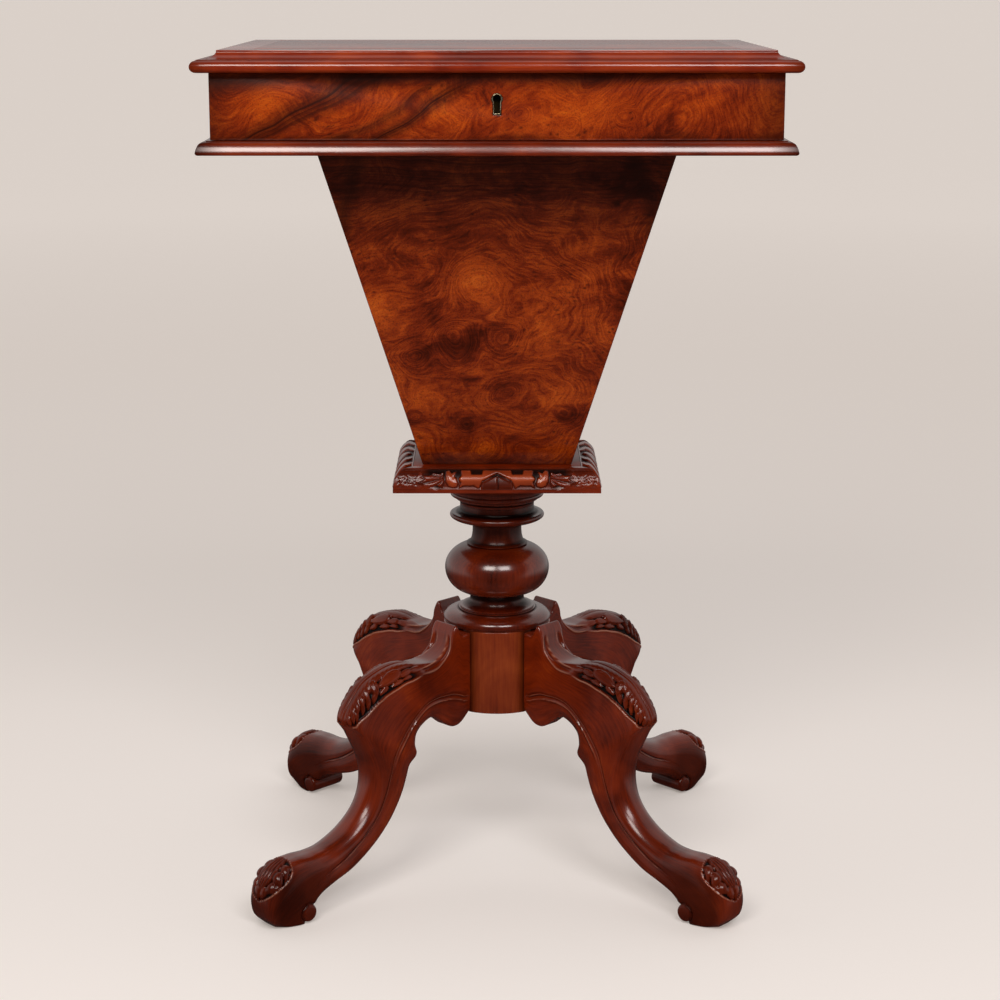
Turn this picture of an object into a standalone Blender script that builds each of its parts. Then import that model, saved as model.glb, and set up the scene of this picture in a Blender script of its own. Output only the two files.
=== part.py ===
# Trumpet work table: a lidded box with compartments round a tapered well,
# on a turned column and four carved scroll legs. Metres, +Z up, front towards -Y.

import math

import bmesh
import bpy
from mathutils import Matrix, Vector

# Clearance between pieces that touch
GAP = 0.0003

# Lid: a panel in a mitred frame with a moulded edge
LID_OVERHANG = 0.0138
LID_THICKNESS = 0.0176
LID_FRAME_WIDTH = 0.046
LID_BEAD_HEIGHT = 0.0098
LID_COVE_RUN = 0.0175
LID_COVE_LIP = 0.0028
LID_COVE_BEND = 0.0150
LID_FILLET = 0.0012
INNER_PANEL_THICKNESS = 0.0016
INNER_PANEL_MARGIN = 0.004

# Box under the lid
BOX_WIDTH = 0.4624
BOX_DEPTH = 0.3252
BOX_HEIGHT = 0.0533
BOX_WALL = 0.0125

# Moulded frame under the box, and the boards inside it
BASE_PROJECTION = 0.0113
BASE_HEIGHT = 0.0114
BASE_FRAME_WIDTH = 0.034
BASE_FILLET = 0.0008
BASE_NOSE_RISE = 0.0030
BASE_NOSE_RUN = 0.0075
BASE_UNDER_RUN = 0.0024

# Compartments
PARTITION_THICKNESS = 0.006
PARTITION_HEIGHT = 0.042
SIDE_ROWS = 3

# Tapered well
TRUMPET_TOP_WIDTH = 0.3004
TRUMPET_TOP_DEPTH = 0.2210
TRUMPET_FOOT_WIDTH = 0.1312
TRUMPET_FOOT_DEPTH = 0.0965
TRUMPET_HEIGHT = 0.2785
TRUMPET_WALL = 0.009
WELL_FLOOR_THICKNESS = 0.008

# Carved collar under the well
COLLAR_WIDTH = 0.182
COLLAR_DEPTH = 0.1474
COLLAR_HEIGHT = 0.0205
COLLAR_FRAME_WIDTH = 0.017
COLLAR_FILLET = 0.0030
COLLAR_OVOLO_RUN = 0.0062

# Turned column, head to foot
CAP_HEIGHT = 0.0243
CAP_TOP_RADIUS = 0.0520
CAP_BEAD_RADIUS = 0.0423
CAP_BEAD_HEIGHT = 0.0029
CAP_STEP_HEIGHT = 0.0102
COLUMN_END_RADIUS = 0.0335
HEAD_FILLET_HEIGHT = 0.0024
FLANGE_RADIUS = 0.0427
FLANGE_HEIGHT = 0.0120
UPPER_NECK_RADIUS = 0.0226
UPPER_NECK_HEIGHT = 0.0190
UPPER_NECK_WAIST = 0.0047
RIDGE_RADIUS = 0.0262
RIDGE_HEIGHT = 0.0042
BULB_RADIUS = 0.0474
BULB_SHOULDER_HEIGHT = 0.0201
BULB_BELLY_HEIGHT = 0.0249
LOWER_NECK_RADIUS = 0.0245
LOWER_NECK_HEIGHT = 0.0134
LOWER_NECK_STRAIGHT = 0.0040
RING_RADIUS = 0.0488
RING_HEIGHT = 0.0128
RING_FILLET = 0.0014
RING_NOSE_RISE = 0.0038
TENON_RADIUS = 0.015
TENON_INTO_COLLAR = 0.010
TENON_INTO_BLOCK = 0.040
TURNED_STEPS = 32

# Round block that carries the legs
BLOCK_RADIUS = 0.0485
BLOCK_HEIGHT = 0.0758
BLOCK_ARC_STEPS = 10

# Scroll legs, splayed a little more to the sides than to front and back
LEG_RISE = 0.2232
LEG_SPAN = 0.2324
LEG_ANGLE = 43.0
LEG_NECK_HALF = 0.0145
DOVETAIL_DEPTH = 0.012
DOVETAIL_NECK_HALF = 0.0045
DOVETAIL_END_HALF = 0.0065
DOVETAIL_SHOULDER = 0.003
DOVETAIL_ROOT = 0.004
VOLUTE_RADIUS = 0.0072
VOLUTE_HALF_LENGTH = 0.0212
VOLUTE_STEPS = 18

# Butt hinges
HINGE_LENGTH = 0.050
HINGE_INSET = 0.070
HINGE_LEAF_WIDTH = 0.014
HINGE_LEAF_THICKNESS = 0.0015
KNUCKLE_RADIUS = 0.0030
KNUCKLE_STANDOFF = 0.0004
HINGE_PIN_RADIUS = 0.0012
HINGE_PIN_CLEARANCE = 0.0001
HINGE_ROUND_STEPS = 20

# Lock: case let into the front board, sliding bolt, hooked link plate, escutcheon
LOCK_END_WALL = 0.0018
LOCK_SIDE_WALL = 0.0015
LOCK_FOOT_WALL = 0.0048
LOCK_PLATE = 0.0016
HOOK_SPACING = 0.026
HOOK_THICKNESS = 0.0024
HOOK_STEM = 0.003
HOOK_TOE = 0.005
HOOK_TOE_HEIGHT = 0.0025
HOOK_DROP = 0.0135
HOOK_PLAY = 0.0006
BOLT_TRAVEL = 0.0050
BOLT_FINGER = 0.0048
BOLT_FINGER_HEIGHT = 0.0026
BOLT_POST = 0.0028
BOLT_SPINE_HEIGHT = 0.0028
KEYHOLE_DROP = 0.0206
KEYHOLE_HEAD_RADIUS = 0.0044
KEYHOLE_HEIGHT = 0.0170
KEYHOLE_FOOT_HALF = 0.0034
KEYHOLE_POCKET = 0.004
ESCUTCHEON_RIM = 0.0011
ESCUTCHEON_DEPTH = 0.0028

# Levels, floor to lid
BLOCK_TOP = LEG_RISE
BLOCK_BOTTOM = BLOCK_TOP - BLOCK_HEIGHT
RING_BOTTOM = BLOCK_TOP + GAP
RING_TOP = RING_BOTTOM + RING_HEIGHT
COLUMN_FOOT = RING_TOP + GAP
BULB_BOTTOM = COLUMN_FOOT + LOWER_NECK_HEIGHT
BULB_MIDDLE = BULB_BOTTOM + BULB_BELLY_HEIGHT
BULB_TOP = BULB_MIDDLE + BULB_SHOULDER_HEIGHT
RIDGE_TOP = BULB_TOP + RIDGE_HEIGHT
FLANGE_BOTTOM = RIDGE_TOP + UPPER_NECK_HEIGHT
FLANGE_TOP = FLANGE_BOTTOM + FLANGE_HEIGHT
COLUMN_HEAD = FLANGE_TOP + HEAD_FILLET_HEIGHT
CAP_BOTTOM = COLUMN_HEAD + GAP
CAP_TOP = CAP_BOTTOM + CAP_HEIGHT
COLLAR_BOTTOM = CAP_TOP + GAP
COLLAR_TOP = COLLAR_BOTTOM + COLLAR_HEIGHT
TRUMPET_BOTTOM = COLLAR_TOP + GAP
TRUMPET_TOP = TRUMPET_BOTTOM + TRUMPET_HEIGHT
BASE_BOTTOM = TRUMPET_TOP + GAP
BASE_TOP = BASE_BOTTOM + BASE_HEIGHT
BOX_BOTTOM = BASE_TOP + GAP
BOX_TOP = BOX_BOTTOM + BOX_HEIGHT
LID_BOTTOM = BOX_TOP + GAP

# Places that several pieces share
LID_WIDTH = BOX_WIDTH + 2 * LID_OVERHANG
LID_DEPTH = BOX_DEPTH + 2 * LID_OVERHANG
BOX_INNER_X = BOX_WIDTH / 2 - BOX_WALL
BOX_INNER_Y = BOX_DEPTH / 2 - BOX_WALL
HINGE_Y = BOX_DEPTH / 2 + KNUCKLE_RADIUS + KNUCKLE_STANDOFF
HINGE_Z = (BOX_TOP + LID_BOTTOM) / 2
LOCK_WIDTH = HOOK_SPACING + 2 * (HOOK_TOE + HOOK_PLAY + BOLT_FINGER + BOLT_POST + LOCK_END_WALL)
LOCK_DEPTH = HOOK_THICKNESS + 2 * (HOOK_PLAY + GAP + LOCK_SIDE_WALL)
LOCK_HEIGHT = KEYHOLE_DROP - KEYHOLE_HEAD_RADIUS + KEYHOLE_HEIGHT + LOCK_FOOT_WALL
LOCK_Y = -BOX_INNER_Y - LOCK_DEPTH / 2
BLOCK_FLAT = math.sqrt(BLOCK_RADIUS ** 2 - LEG_NECK_HALF ** 2)
LEG_START = BLOCK_FLAT + GAP

SIDES = {
    "front": 0.0,
    "right": math.pi / 2,
    "back": math.pi,
    "left": -math.pi / 2,
}

# Finishes: colour, roughness, metallic
FINISHES = {
    "burr_walnut": ((0.33, 0.10, 0.022, 1.0), 0.22, 0.0),
    "polished_walnut": ((0.20, 0.045, 0.018, 1.0), 0.25, 0.0),
    "inner_wood": ((0.36, 0.20, 0.09, 1.0), 0.5, 0.0),
    "brass": ((0.62, 0.44, 0.17, 1.0), 0.3, 1.0),
    "steel": ((0.35, 0.34, 0.32, 1.0), 0.35, 1.0),
}


def clear_scene():
    for old in list(bpy.data.objects):
        bpy.data.objects.remove(old, do_unlink=True)


def new_collection(name):
    collection = bpy.data.collections.new(name)
    bpy.context.scene.collection.children.link(collection)
    return collection


clear_scene()
PARTS = new_collection("work_table")
CUTTERS = new_collection("cutters")


def finish_material(name, finish):
    colour, roughness, metallic = FINISHES[finish]
    material = bpy.data.materials.new(name + "_" + finish)
    material.use_nodes = True
    shader = material.node_tree.nodes["Principled BSDF"]
    shader.inputs["Base Color"].default_value = colour
    shader.inputs["Roughness"].default_value = roughness
    shader.inputs["Metallic"].default_value = metallic
    return material


def mesh_from(bm, name):
    bmesh.ops.recalc_face_normals(bm, faces=bm.faces[:])
    mesh = bpy.data.meshes.new(name)
    bm.to_mesh(mesh)
    bm.free()
    return mesh


def add_piece(name, mesh, finish, location=(0, 0, 0), turn=0.0, parent=None):
    piece = bpy.data.objects.new(name, mesh)
    mesh.materials.append(finish_material(name, finish))
    PARTS.objects.link(piece)
    piece.location = location
    piece.rotation_euler = (0, 0, turn)
    if parent is not None:
        piece.parent = parent
        piece.matrix_parent_inverse = Matrix.Translation(parent.location).inverted()
    return piece


def add_cutter(name, mesh, location=(0, 0, 0), turn=0.0):
    cutter = bpy.data.objects.new(name, mesh)
    CUTTERS.objects.link(cutter)
    cutter.location = location
    cutter.rotation_euler = (0, 0, turn)
    cutter.hide_render = True
    cutter.display_type = "WIRE"
    return cutter


def combine(piece, cutter, operation):
    modifier = piece.modifiers.new(cutter.name, "BOOLEAN")
    modifier.operation = operation
    modifier.solver = "EXACT"
    modifier.object = cutter


def box_mesh(name, low, high):
    bm = bmesh.new()
    bmesh.ops.create_cube(bm, size=1.0)
    size = [high[i] - low[i] for i in range(3)]
    middle = [(high[i] + low[i]) / 2 for i in range(3)]
    bmesh.ops.scale(bm, vec=size, verts=bm.verts[:])
    bmesh.ops.translate(bm, vec=middle, verts=bm.verts[:])
    return mesh_from(bm, name)


def board(name, low, high, finish, parent=None):
    # A plain board between two corners, with its origin at its middle
    middle = [(low[i] + high[i]) / 2 for i in range(3)]
    half = [(high[i] - low[i]) / 2 for i in range(3)]
    mesh = box_mesh(name, [-h for h in half], half)
    return add_piece(name, mesh, finish, middle, parent=parent)


def extruded_mesh(name, outline, low, high, axes):
    # An outline in the first two axes, drawn along the third from low to high
    a, b, c = axes
    bm = bmesh.new()
    corners = []
    for u, v in outline:
        point = Vector((0, 0, 0))
        point[a] = u
        point[b] = v
        point[c] = low
        corners.append(bm.verts.new(point))
    face = bm.faces.new(corners)
    grown = bmesh.ops.extrude_face_region(bm, geom=[face])
    step = Vector((0, 0, 0))
    step[c] = high - low
    moved = [item for item in grown["geom"] if isinstance(item, bmesh.types.BMVert)]
    bmesh.ops.translate(bm, vec=step, verts=moved)
    return mesh_from(bm, name)


def round_bar_mesh(name, radius, low, high, steps, along_x=False):
    bm = bmesh.new()
    bmesh.ops.create_cone(bm, cap_ends=True, segments=steps, radius1=radius, radius2=radius,
                          depth=high - low)
    bmesh.ops.translate(bm, vec=(0, 0, (low + high) / 2), verts=bm.verts[:])
    if along_x:
        bmesh.ops.rotate(bm, matrix=Matrix.Rotation(math.pi / 2, 3, "Y"), verts=bm.verts[:])
    return mesh_from(bm, name)


def arc(centre, radii, start, end, steps):
    # Points on an ellipse's arc, angles in degrees
    points = []
    for i in range(steps + 1):
        angle = math.radians(start + (end - start) * i / steps)
        points.append((centre[0] + radii[0] * math.cos(angle), centre[1] + radii[1] * math.sin(angle)))
    return points


def bend(start, control, end, steps):
    # Points on a quadratic curve, without its first
    points = []
    for i in range(1, steps + 1):
        t = i / steps
        points.append(tuple(
            (1 - t) ** 2 * start[k] + 2 * t * (1 - t) * control[k] + t * t * end[k] for k in range(2)
        ))
    return points


def mitred_bar(name, profile, half_run, half_reach, level, finish, side, parent=None):
    # One side of a mitred frame. The profile holds (distance out from the frame's edge, height).
    bm = bmesh.new()
    start = [bm.verts.new((-1.0, -out, up)) for out, up in profile]
    face = bm.faces.new(start)
    grown = bmesh.ops.extrude_face_region(bm, geom=[face])
    moved = [item for item in grown["geom"] if isinstance(item, bmesh.types.BMVert)]
    bmesh.ops.translate(bm, vec=(2.0, 0, 0), verts=moved)
    for vert in bm.verts:
        vert.co.x *= half_run - vert.co.y - GAP
        vert.co.y -= half_reach
    mesh = mesh_from(bm, name)
    return add_piece(name, mesh, finish, (0, 0, level), SIDES[side], parent)


def mitred_frame(stem, profile, width, depth, level, finish, parent=None):
    for side in SIDES:
        lengthwise = side in ("front", "back")
        half_run = (width if lengthwise else depth) / 2
        half_reach = (depth if lengthwise else width) / 2
        mitred_bar(stem + "_" + side, profile, half_run, half_reach, level, finish, side, parent)


def turned(name, profile, finish, closed):
    # A turned piece from its outer side, top to bottom
    mesh = bpy.data.meshes.new(name)
    edges = [(i, i + 1) for i in range(len(profile) - 1)]
    if closed:
        edges.append((len(profile) - 1, 0))
    mesh.from_pydata([(r, 0, z) for r, z in profile], edges, [])
    piece = add_piece(name, mesh, finish)
    screw = piece.modifiers.new("turning", "SCREW")
    screw.steps = TURNED_STEPS
    screw.render_steps = TURNED_STEPS
    screw.use_merge_vertices = True
    screw.merge_threshold = 0.00001
    screw.use_smooth_shade = True
    return piece


def add_lid(pivot):
    bead = LID_BEAD_HEIGHT / 2
    cove_low = (-bead - LID_FILLET, LID_BEAD_HEIGHT + LID_FILLET / 2)
    cove_high = (-LID_COVE_RUN, LID_THICKNESS - LID_COVE_LIP)
    profile = [(-LID_FRAME_WIDTH, 0.0)]
    profile += arc((-bead, bead), (bead, bead), -90, 90, 8)
    profile.append((-bead, cove_low[1]))
    profile.append(cove_low)
    profile += bend(cove_low, (-LID_COVE_BEND, cove_low[1]), cove_high, 4)
    profile.append((-LID_COVE_RUN, LID_THICKNESS))
    profile.append((-LID_FRAME_WIDTH, LID_THICKNESS))
    mitred_frame("lid_moulding", profile, LID_WIDTH, LID_DEPTH, LID_BOTTOM, "polished_walnut", pivot)

    half_x = LID_WIDTH / 2 - LID_FRAME_WIDTH - GAP
    half_y = LID_DEPTH / 2 - LID_FRAME_WIDTH - GAP
    board("lid_panel", (-half_x, -half_y, LID_BOTTOM), (half_x, half_y, LID_BOTTOM + LID_THICKNESS),
          "burr_walnut", pivot)

    half_x = BOX_INNER_X - INNER_PANEL_MARGIN
    half_y = BOX_INNER_Y - INNER_PANEL_MARGIN
    board("lid_inner_panel", (-half_x, -half_y, LID_BOTTOM - GAP - INNER_PANEL_THICKNESS),
          (half_x, half_y, LID_BOTTOM - GAP), "inner_wood", pivot)


def add_box():
    half_x = BOX_WIDTH / 2
    half_y = BOX_DEPTH / 2
    for side, sign in (("front", -1), ("back", 1)):
        inner, outer = sorted((sign * BOX_INNER_Y, sign * half_y))
        board("box_" + side, (-half_x, inner, BOX_BOTTOM), (half_x, outer, BOX_TOP), "burr_walnut")
    for side, sign in (("left", -1), ("right", 1)):
        inner, outer = sorted((sign * BOX_INNER_X, sign * half_x))
        board("box_" + side, (inner, -BOX_INNER_Y + GAP, BOX_BOTTOM),
              (outer, BOX_INNER_Y - GAP, BOX_TOP), "burr_walnut")


def add_base():
    width = BOX_WIDTH + 2 * BASE_PROJECTION
    depth = BOX_DEPTH + 2 * BASE_PROJECTION
    shelf = BASE_HEIGHT - BASE_FILLET
    profile = [(-BASE_FRAME_WIDTH, 0.0)]
    profile += arc((-BASE_UNDER_RUN, BASE_NOSE_RISE), (BASE_UNDER_RUN, BASE_NOSE_RISE), -90, 0, 4)
    profile += arc((-BASE_NOSE_RUN, BASE_NOSE_RISE), (BASE_NOSE_RUN, shelf - BASE_NOSE_RISE), 0, 90, 6)[1:]
    profile.append((-BASE_NOSE_RUN - BASE_FILLET, shelf))
    profile.append((-BASE_NOSE_RUN - BASE_FILLET, BASE_HEIGHT))
    profile.append((-BASE_FRAME_WIDTH, BASE_HEIGHT))
    mitred_frame("base_moulding", profile, width, depth, BASE_BOTTOM, "polished_walnut")

    # Floor boards of the compartments, round the mouth of the well
    outer_x = width / 2 - BASE_FRAME_WIDTH - GAP
    outer_y = depth / 2 - BASE_FRAME_WIDTH - GAP
    mouth_x, mouth_y = well_mouth()
    for side, sign in (("left", -1), ("right", 1)):
        inner, outer = sorted((sign * mouth_x, sign * outer_x))
        board("floor_board_" + side, (inner, -outer_y, BASE_BOTTOM), (outer, outer_y, BASE_TOP), "inner_wood")
    for side, sign in (("front", -1), ("back", 1)):
        inner, outer = sorted((sign * mouth_y, sign * outer_y))
        board("floor_board_" + side, (-mouth_x + GAP, inner, BASE_BOTTOM), (mouth_x - GAP, outer, BASE_TOP),
              "inner_wood")


def well_mouth():
    return TRUMPET_TOP_WIDTH / 2 - TRUMPET_WALL, TRUMPET_TOP_DEPTH / 2 - TRUMPET_WALL


def add_compartments():
    low = BASE_TOP + GAP
    high = low + PARTITION_HEIGHT
    mouth_x, mouth_y = well_mouth()
    far_x = mouth_x + PARTITION_THICKNESS
    far_y = mouth_y + PARTITION_THICKNESS
    reach_y = BOX_INNER_Y - GAP
    for side, sign in (("left", -1), ("right", 1)):
        inner, outer = sorted((sign * mouth_x, sign * far_x))
        board("well_wall_" + side, (inner, -reach_y, low), (outer, reach_y, high), "inner_wood")
    for side, sign in (("front", -1), ("back", 1)):
        inner, outer = sorted((sign * mouth_y, sign * far_y))
        board("well_wall_" + side, (-mouth_x + GAP, inner, low), (mouth_x - GAP, outer, high), "inner_wood")
    row = 2 * reach_y / SIDE_ROWS
    for side, sign in (("left", -1), ("right", 1)):
        inner, outer = sorted((sign * (far_x + GAP), sign * (BOX_INNER_X - GAP)))
        for i in range(1, SIDE_ROWS):
            middle = -reach_y + i * row
            board("divider_" + side + "_" + str(i),
                  (inner, middle - PARTITION_THICKNESS / 2, low),
                  (outer, middle + PARTITION_THICKNESS / 2, high), "inner_wood")


def add_trumpet():
    # Four tapered boards, mitred at the corners
    for side in SIDES:
        lengthwise = side in ("front", "back")
        top = (TRUMPET_TOP_WIDTH, TRUMPET_TOP_DEPTH)
        foot = (TRUMPET_FOOT_WIDTH, TRUMPET_FOOT_DEPTH)
        if not lengthwise:
            top = top[::-1]
            foot = foot[::-1]
        bm = bmesh.new()
        bmesh.ops.create_cube(bm, size=2.0)
        for vert in bm.verts:
            size = top if vert.co.z > 0 else foot
            inset = TRUMPET_WALL if vert.co.y > 0 else 0.0
            vert.co.x *= size[0] / 2 - inset - GAP
            vert.co.y = inset - size[1] / 2
            vert.co.z = TRUMPET_HEIGHT if vert.co.z > 0 else 0.0
        name = "well_panel_" + side
        add_piece(name, mesh_from(bm, name), "burr_walnut", (0, 0, TRUMPET_BOTTOM), SIDES[side])
    half_x = TRUMPET_FOOT_WIDTH / 2 - TRUMPET_WALL - GAP
    half_y = TRUMPET_FOOT_DEPTH / 2 - TRUMPET_WALL - GAP
    board("well_floor", (-half_x, -half_y, TRUMPET_BOTTOM),
          (half_x, half_y, TRUMPET_BOTTOM + WELL_FLOOR_THICKNESS), "inner_wood")


def add_collar():
    profile = [(-COLLAR_FRAME_WIDTH, 0.0), (0.0, 0.0)]
    profile += arc((-COLLAR_OVOLO_RUN, COLLAR_FILLET),
                   (COLLAR_OVOLO_RUN, COLLAR_HEIGHT - COLLAR_FILLET), 0, 90, 6)
    profile.append((-COLLAR_FRAME_WIDTH, COLLAR_HEIGHT))
    mitred_frame("collar_moulding", profile, COLLAR_WIDTH, COLLAR_DEPTH, COLLAR_BOTTOM, "polished_walnut")

    half_x = COLLAR_WIDTH / 2 - COLLAR_FRAME_WIDTH - GAP
    half_y = COLLAR_DEPTH / 2 - COLLAR_FRAME_WIDTH - GAP
    plate = board("collar_board", (-half_x, -half_y, COLLAR_BOTTOM), (half_x, half_y, COLLAR_TOP),
                  "polished_walnut")
    hole = round_bar_mesh("collar_mortise", TENON_RADIUS + GAP, COLLAR_BOTTOM - TENON_INTO_COLLAR,
                          COLLAR_BOTTOM + TENON_INTO_COLLAR + GAP, TURNED_STEPS)
    combine(plate, add_cutter("collar_mortise", hole), "DIFFERENCE")


def add_column():
    # Flared cap under the collar
    step = CAP_BOTTOM + CAP_STEP_HEIGHT
    bore = TENON_RADIUS + GAP
    cap = [(bore, CAP_TOP), (CAP_TOP_RADIUS, CAP_TOP)]
    start = (CAP_TOP_RADIUS, CAP_TOP - CAP_BEAD_HEIGHT)
    cap.append(start)
    cap += bend(start, (CAP_BEAD_RADIUS, CAP_TOP - 2 * CAP_BEAD_HEIGHT), (CAP_BEAD_RADIUS, step), 4)
    cap.append((CAP_BEAD_RADIUS - CAP_BEAD_HEIGHT / 2, step - CAP_BEAD_HEIGHT))
    start = (COLUMN_END_RADIUS + CAP_BEAD_HEIGHT, step - CAP_BEAD_HEIGHT)
    cap.append(start)
    cap += bend(start, (COLUMN_END_RADIUS, CAP_BOTTOM + CAP_BEAD_HEIGHT), (COLUMN_END_RADIUS, CAP_BOTTOM), 3)
    cap.append((bore, CAP_BOTTOM))
    turned("column_cap", cap, "polished_walnut", True)

    # Baluster with a flange, a bulb and a tenon at each end
    tenon_top = COLLAR_BOTTOM + TENON_INTO_COLLAR
    tenon_foot = BLOCK_TOP - TENON_INTO_BLOCK
    flange_root = UPPER_NECK_RADIUS + HEAD_FILLET_HEIGHT
    profile = [(0.0, tenon_top), (TENON_RADIUS, tenon_top), (TENON_RADIUS, COLUMN_HEAD)]
    profile += [(COLUMN_END_RADIUS, COLUMN_HEAD), (COLUMN_END_RADIUS, FLANGE_TOP)]
    flange_edge = FLANGE_RADIUS - COLUMN_END_RADIUS - HEAD_FILLET_HEIGHT / 2
    profile += arc((COLUMN_END_RADIUS + HEAD_FILLET_HEIGHT / 2, FLANGE_BOTTOM + FLANGE_HEIGHT / 2),
                   (flange_edge, FLANGE_HEIGHT / 2), 80, -80, 8)
    profile.append((flange_root, FLANGE_BOTTOM))
    neck = (UPPER_NECK_RADIUS, RIDGE_TOP + UPPER_NECK_WAIST)
    profile += bend((flange_root, FLANGE_BOTTOM), (UPPER_NECK_RADIUS, FLANGE_BOTTOM), neck, 3)
    profile.append((RIDGE_RADIUS, RIDGE_TOP))
    profile.append((RIDGE_RADIUS, RIDGE_TOP - RIDGE_HEIGHT / 2))
    profile += arc((UPPER_NECK_RADIUS, BULB_MIDDLE),
                   (BULB_RADIUS - UPPER_NECK_RADIUS, BULB_SHOULDER_HEIGHT), 82, 0, 8)
    profile += arc((LOWER_NECK_RADIUS, BULB_MIDDLE),
                   (BULB_RADIUS - LOWER_NECK_RADIUS, BULB_BELLY_HEIGHT), 0, -84, 8)[1:]
    start = (LOWER_NECK_RADIUS, BULB_BOTTOM - LOWER_NECK_STRAIGHT)
    profile.append(start)
    profile += bend(start, (LOWER_NECK_RADIUS, COLUMN_FOOT + RING_FILLET),
                    (COLUMN_END_RADIUS, COLUMN_FOOT + RING_FILLET), 4)
    profile += [(COLUMN_END_RADIUS, COLUMN_FOOT), (TENON_RADIUS, COLUMN_FOOT)]
    profile += [(TENON_RADIUS, tenon_foot), (0.0, tenon_foot)]
    turned("column_baluster", profile, "polished_walnut", False)

    # Ring between baluster and block
    ledge = COLUMN_END_RADIUS + RING_FILLET
    ring = [(bore, RING_TOP), (ledge, RING_TOP), (ledge, RING_TOP - RING_FILLET)]
    shelf = RING_TOP - RING_FILLET
    nose = RING_BOTTOM + RING_NOSE_RISE
    ring += arc((ledge, nose), (RING_RADIUS - ledge, shelf - nose), 75, 0, 6)
    ring.append((RING_RADIUS - RING_FILLET, RING_BOTTOM))
    ring.append((bore, RING_BOTTOM))
    turned("column_base_ring", ring, "polished_walnut", True)


def leg_turns():
    angle = math.radians(LEG_ANGLE)
    return {
        "leg_front_right": -angle,
        "leg_rear_right": angle,
        "leg_rear_left": math.pi - angle,
        "leg_front_left": math.pi + angle,
    }


def add_block():
    # Round between the legs, with a flat and an open dovetail slot at each leg
    tongue_run = DOVETAIL_DEPTH + GAP
    flare = (DOVETAIL_END_HALF - DOVETAIL_NECK_HALF) / DOVETAIL_DEPTH
    mouth = DOVETAIL_NECK_HALF + GAP
    end = mouth + flare * tongue_run
    flat_angle = math.asin(LEG_NECK_HALF / BLOCK_RADIUS)
    turns = sorted(turn % (2 * math.pi) for turn in leg_turns().values())
    outline = []
    for i, turn in enumerate(turns):
        spoke = Matrix.Rotation(turn, 2)
        notch = [(BLOCK_FLAT, -LEG_NECK_HALF), (BLOCK_FLAT, -mouth), (BLOCK_FLAT - tongue_run, -end),
                 (BLOCK_FLAT - tongue_run, end), (BLOCK_FLAT, mouth), (BLOCK_FLAT, LEG_NECK_HALF)]
        outline += [tuple(spoke @ Vector(point)) for point in notch]
        start = turn + flat_angle
        stop = turns[(i + 1) % len(turns)] - flat_angle
        if stop < start:
            stop += 2 * math.pi
        outline += arc((0, 0), (BLOCK_RADIUS, BLOCK_RADIUS), math.degrees(start), math.degrees(stop),
                       BLOCK_ARC_STEPS)[1:-1]
    mesh = extruded_mesh("leg_block", outline, BLOCK_BOTTOM, BLOCK_TOP, (0, 1, 2))
    block = add_piece("leg_block", mesh, "polished_walnut")
    hole = round_bar_mesh("block_mortise", TENON_RADIUS + GAP, BLOCK_TOP - TENON_INTO_BLOCK - GAP,
                          BLOCK_TOP + TENON_INTO_BLOCK, TURNED_STEPS)
    combine(block, add_cutter("block_mortise", hole), "DIFFERENCE")


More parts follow.
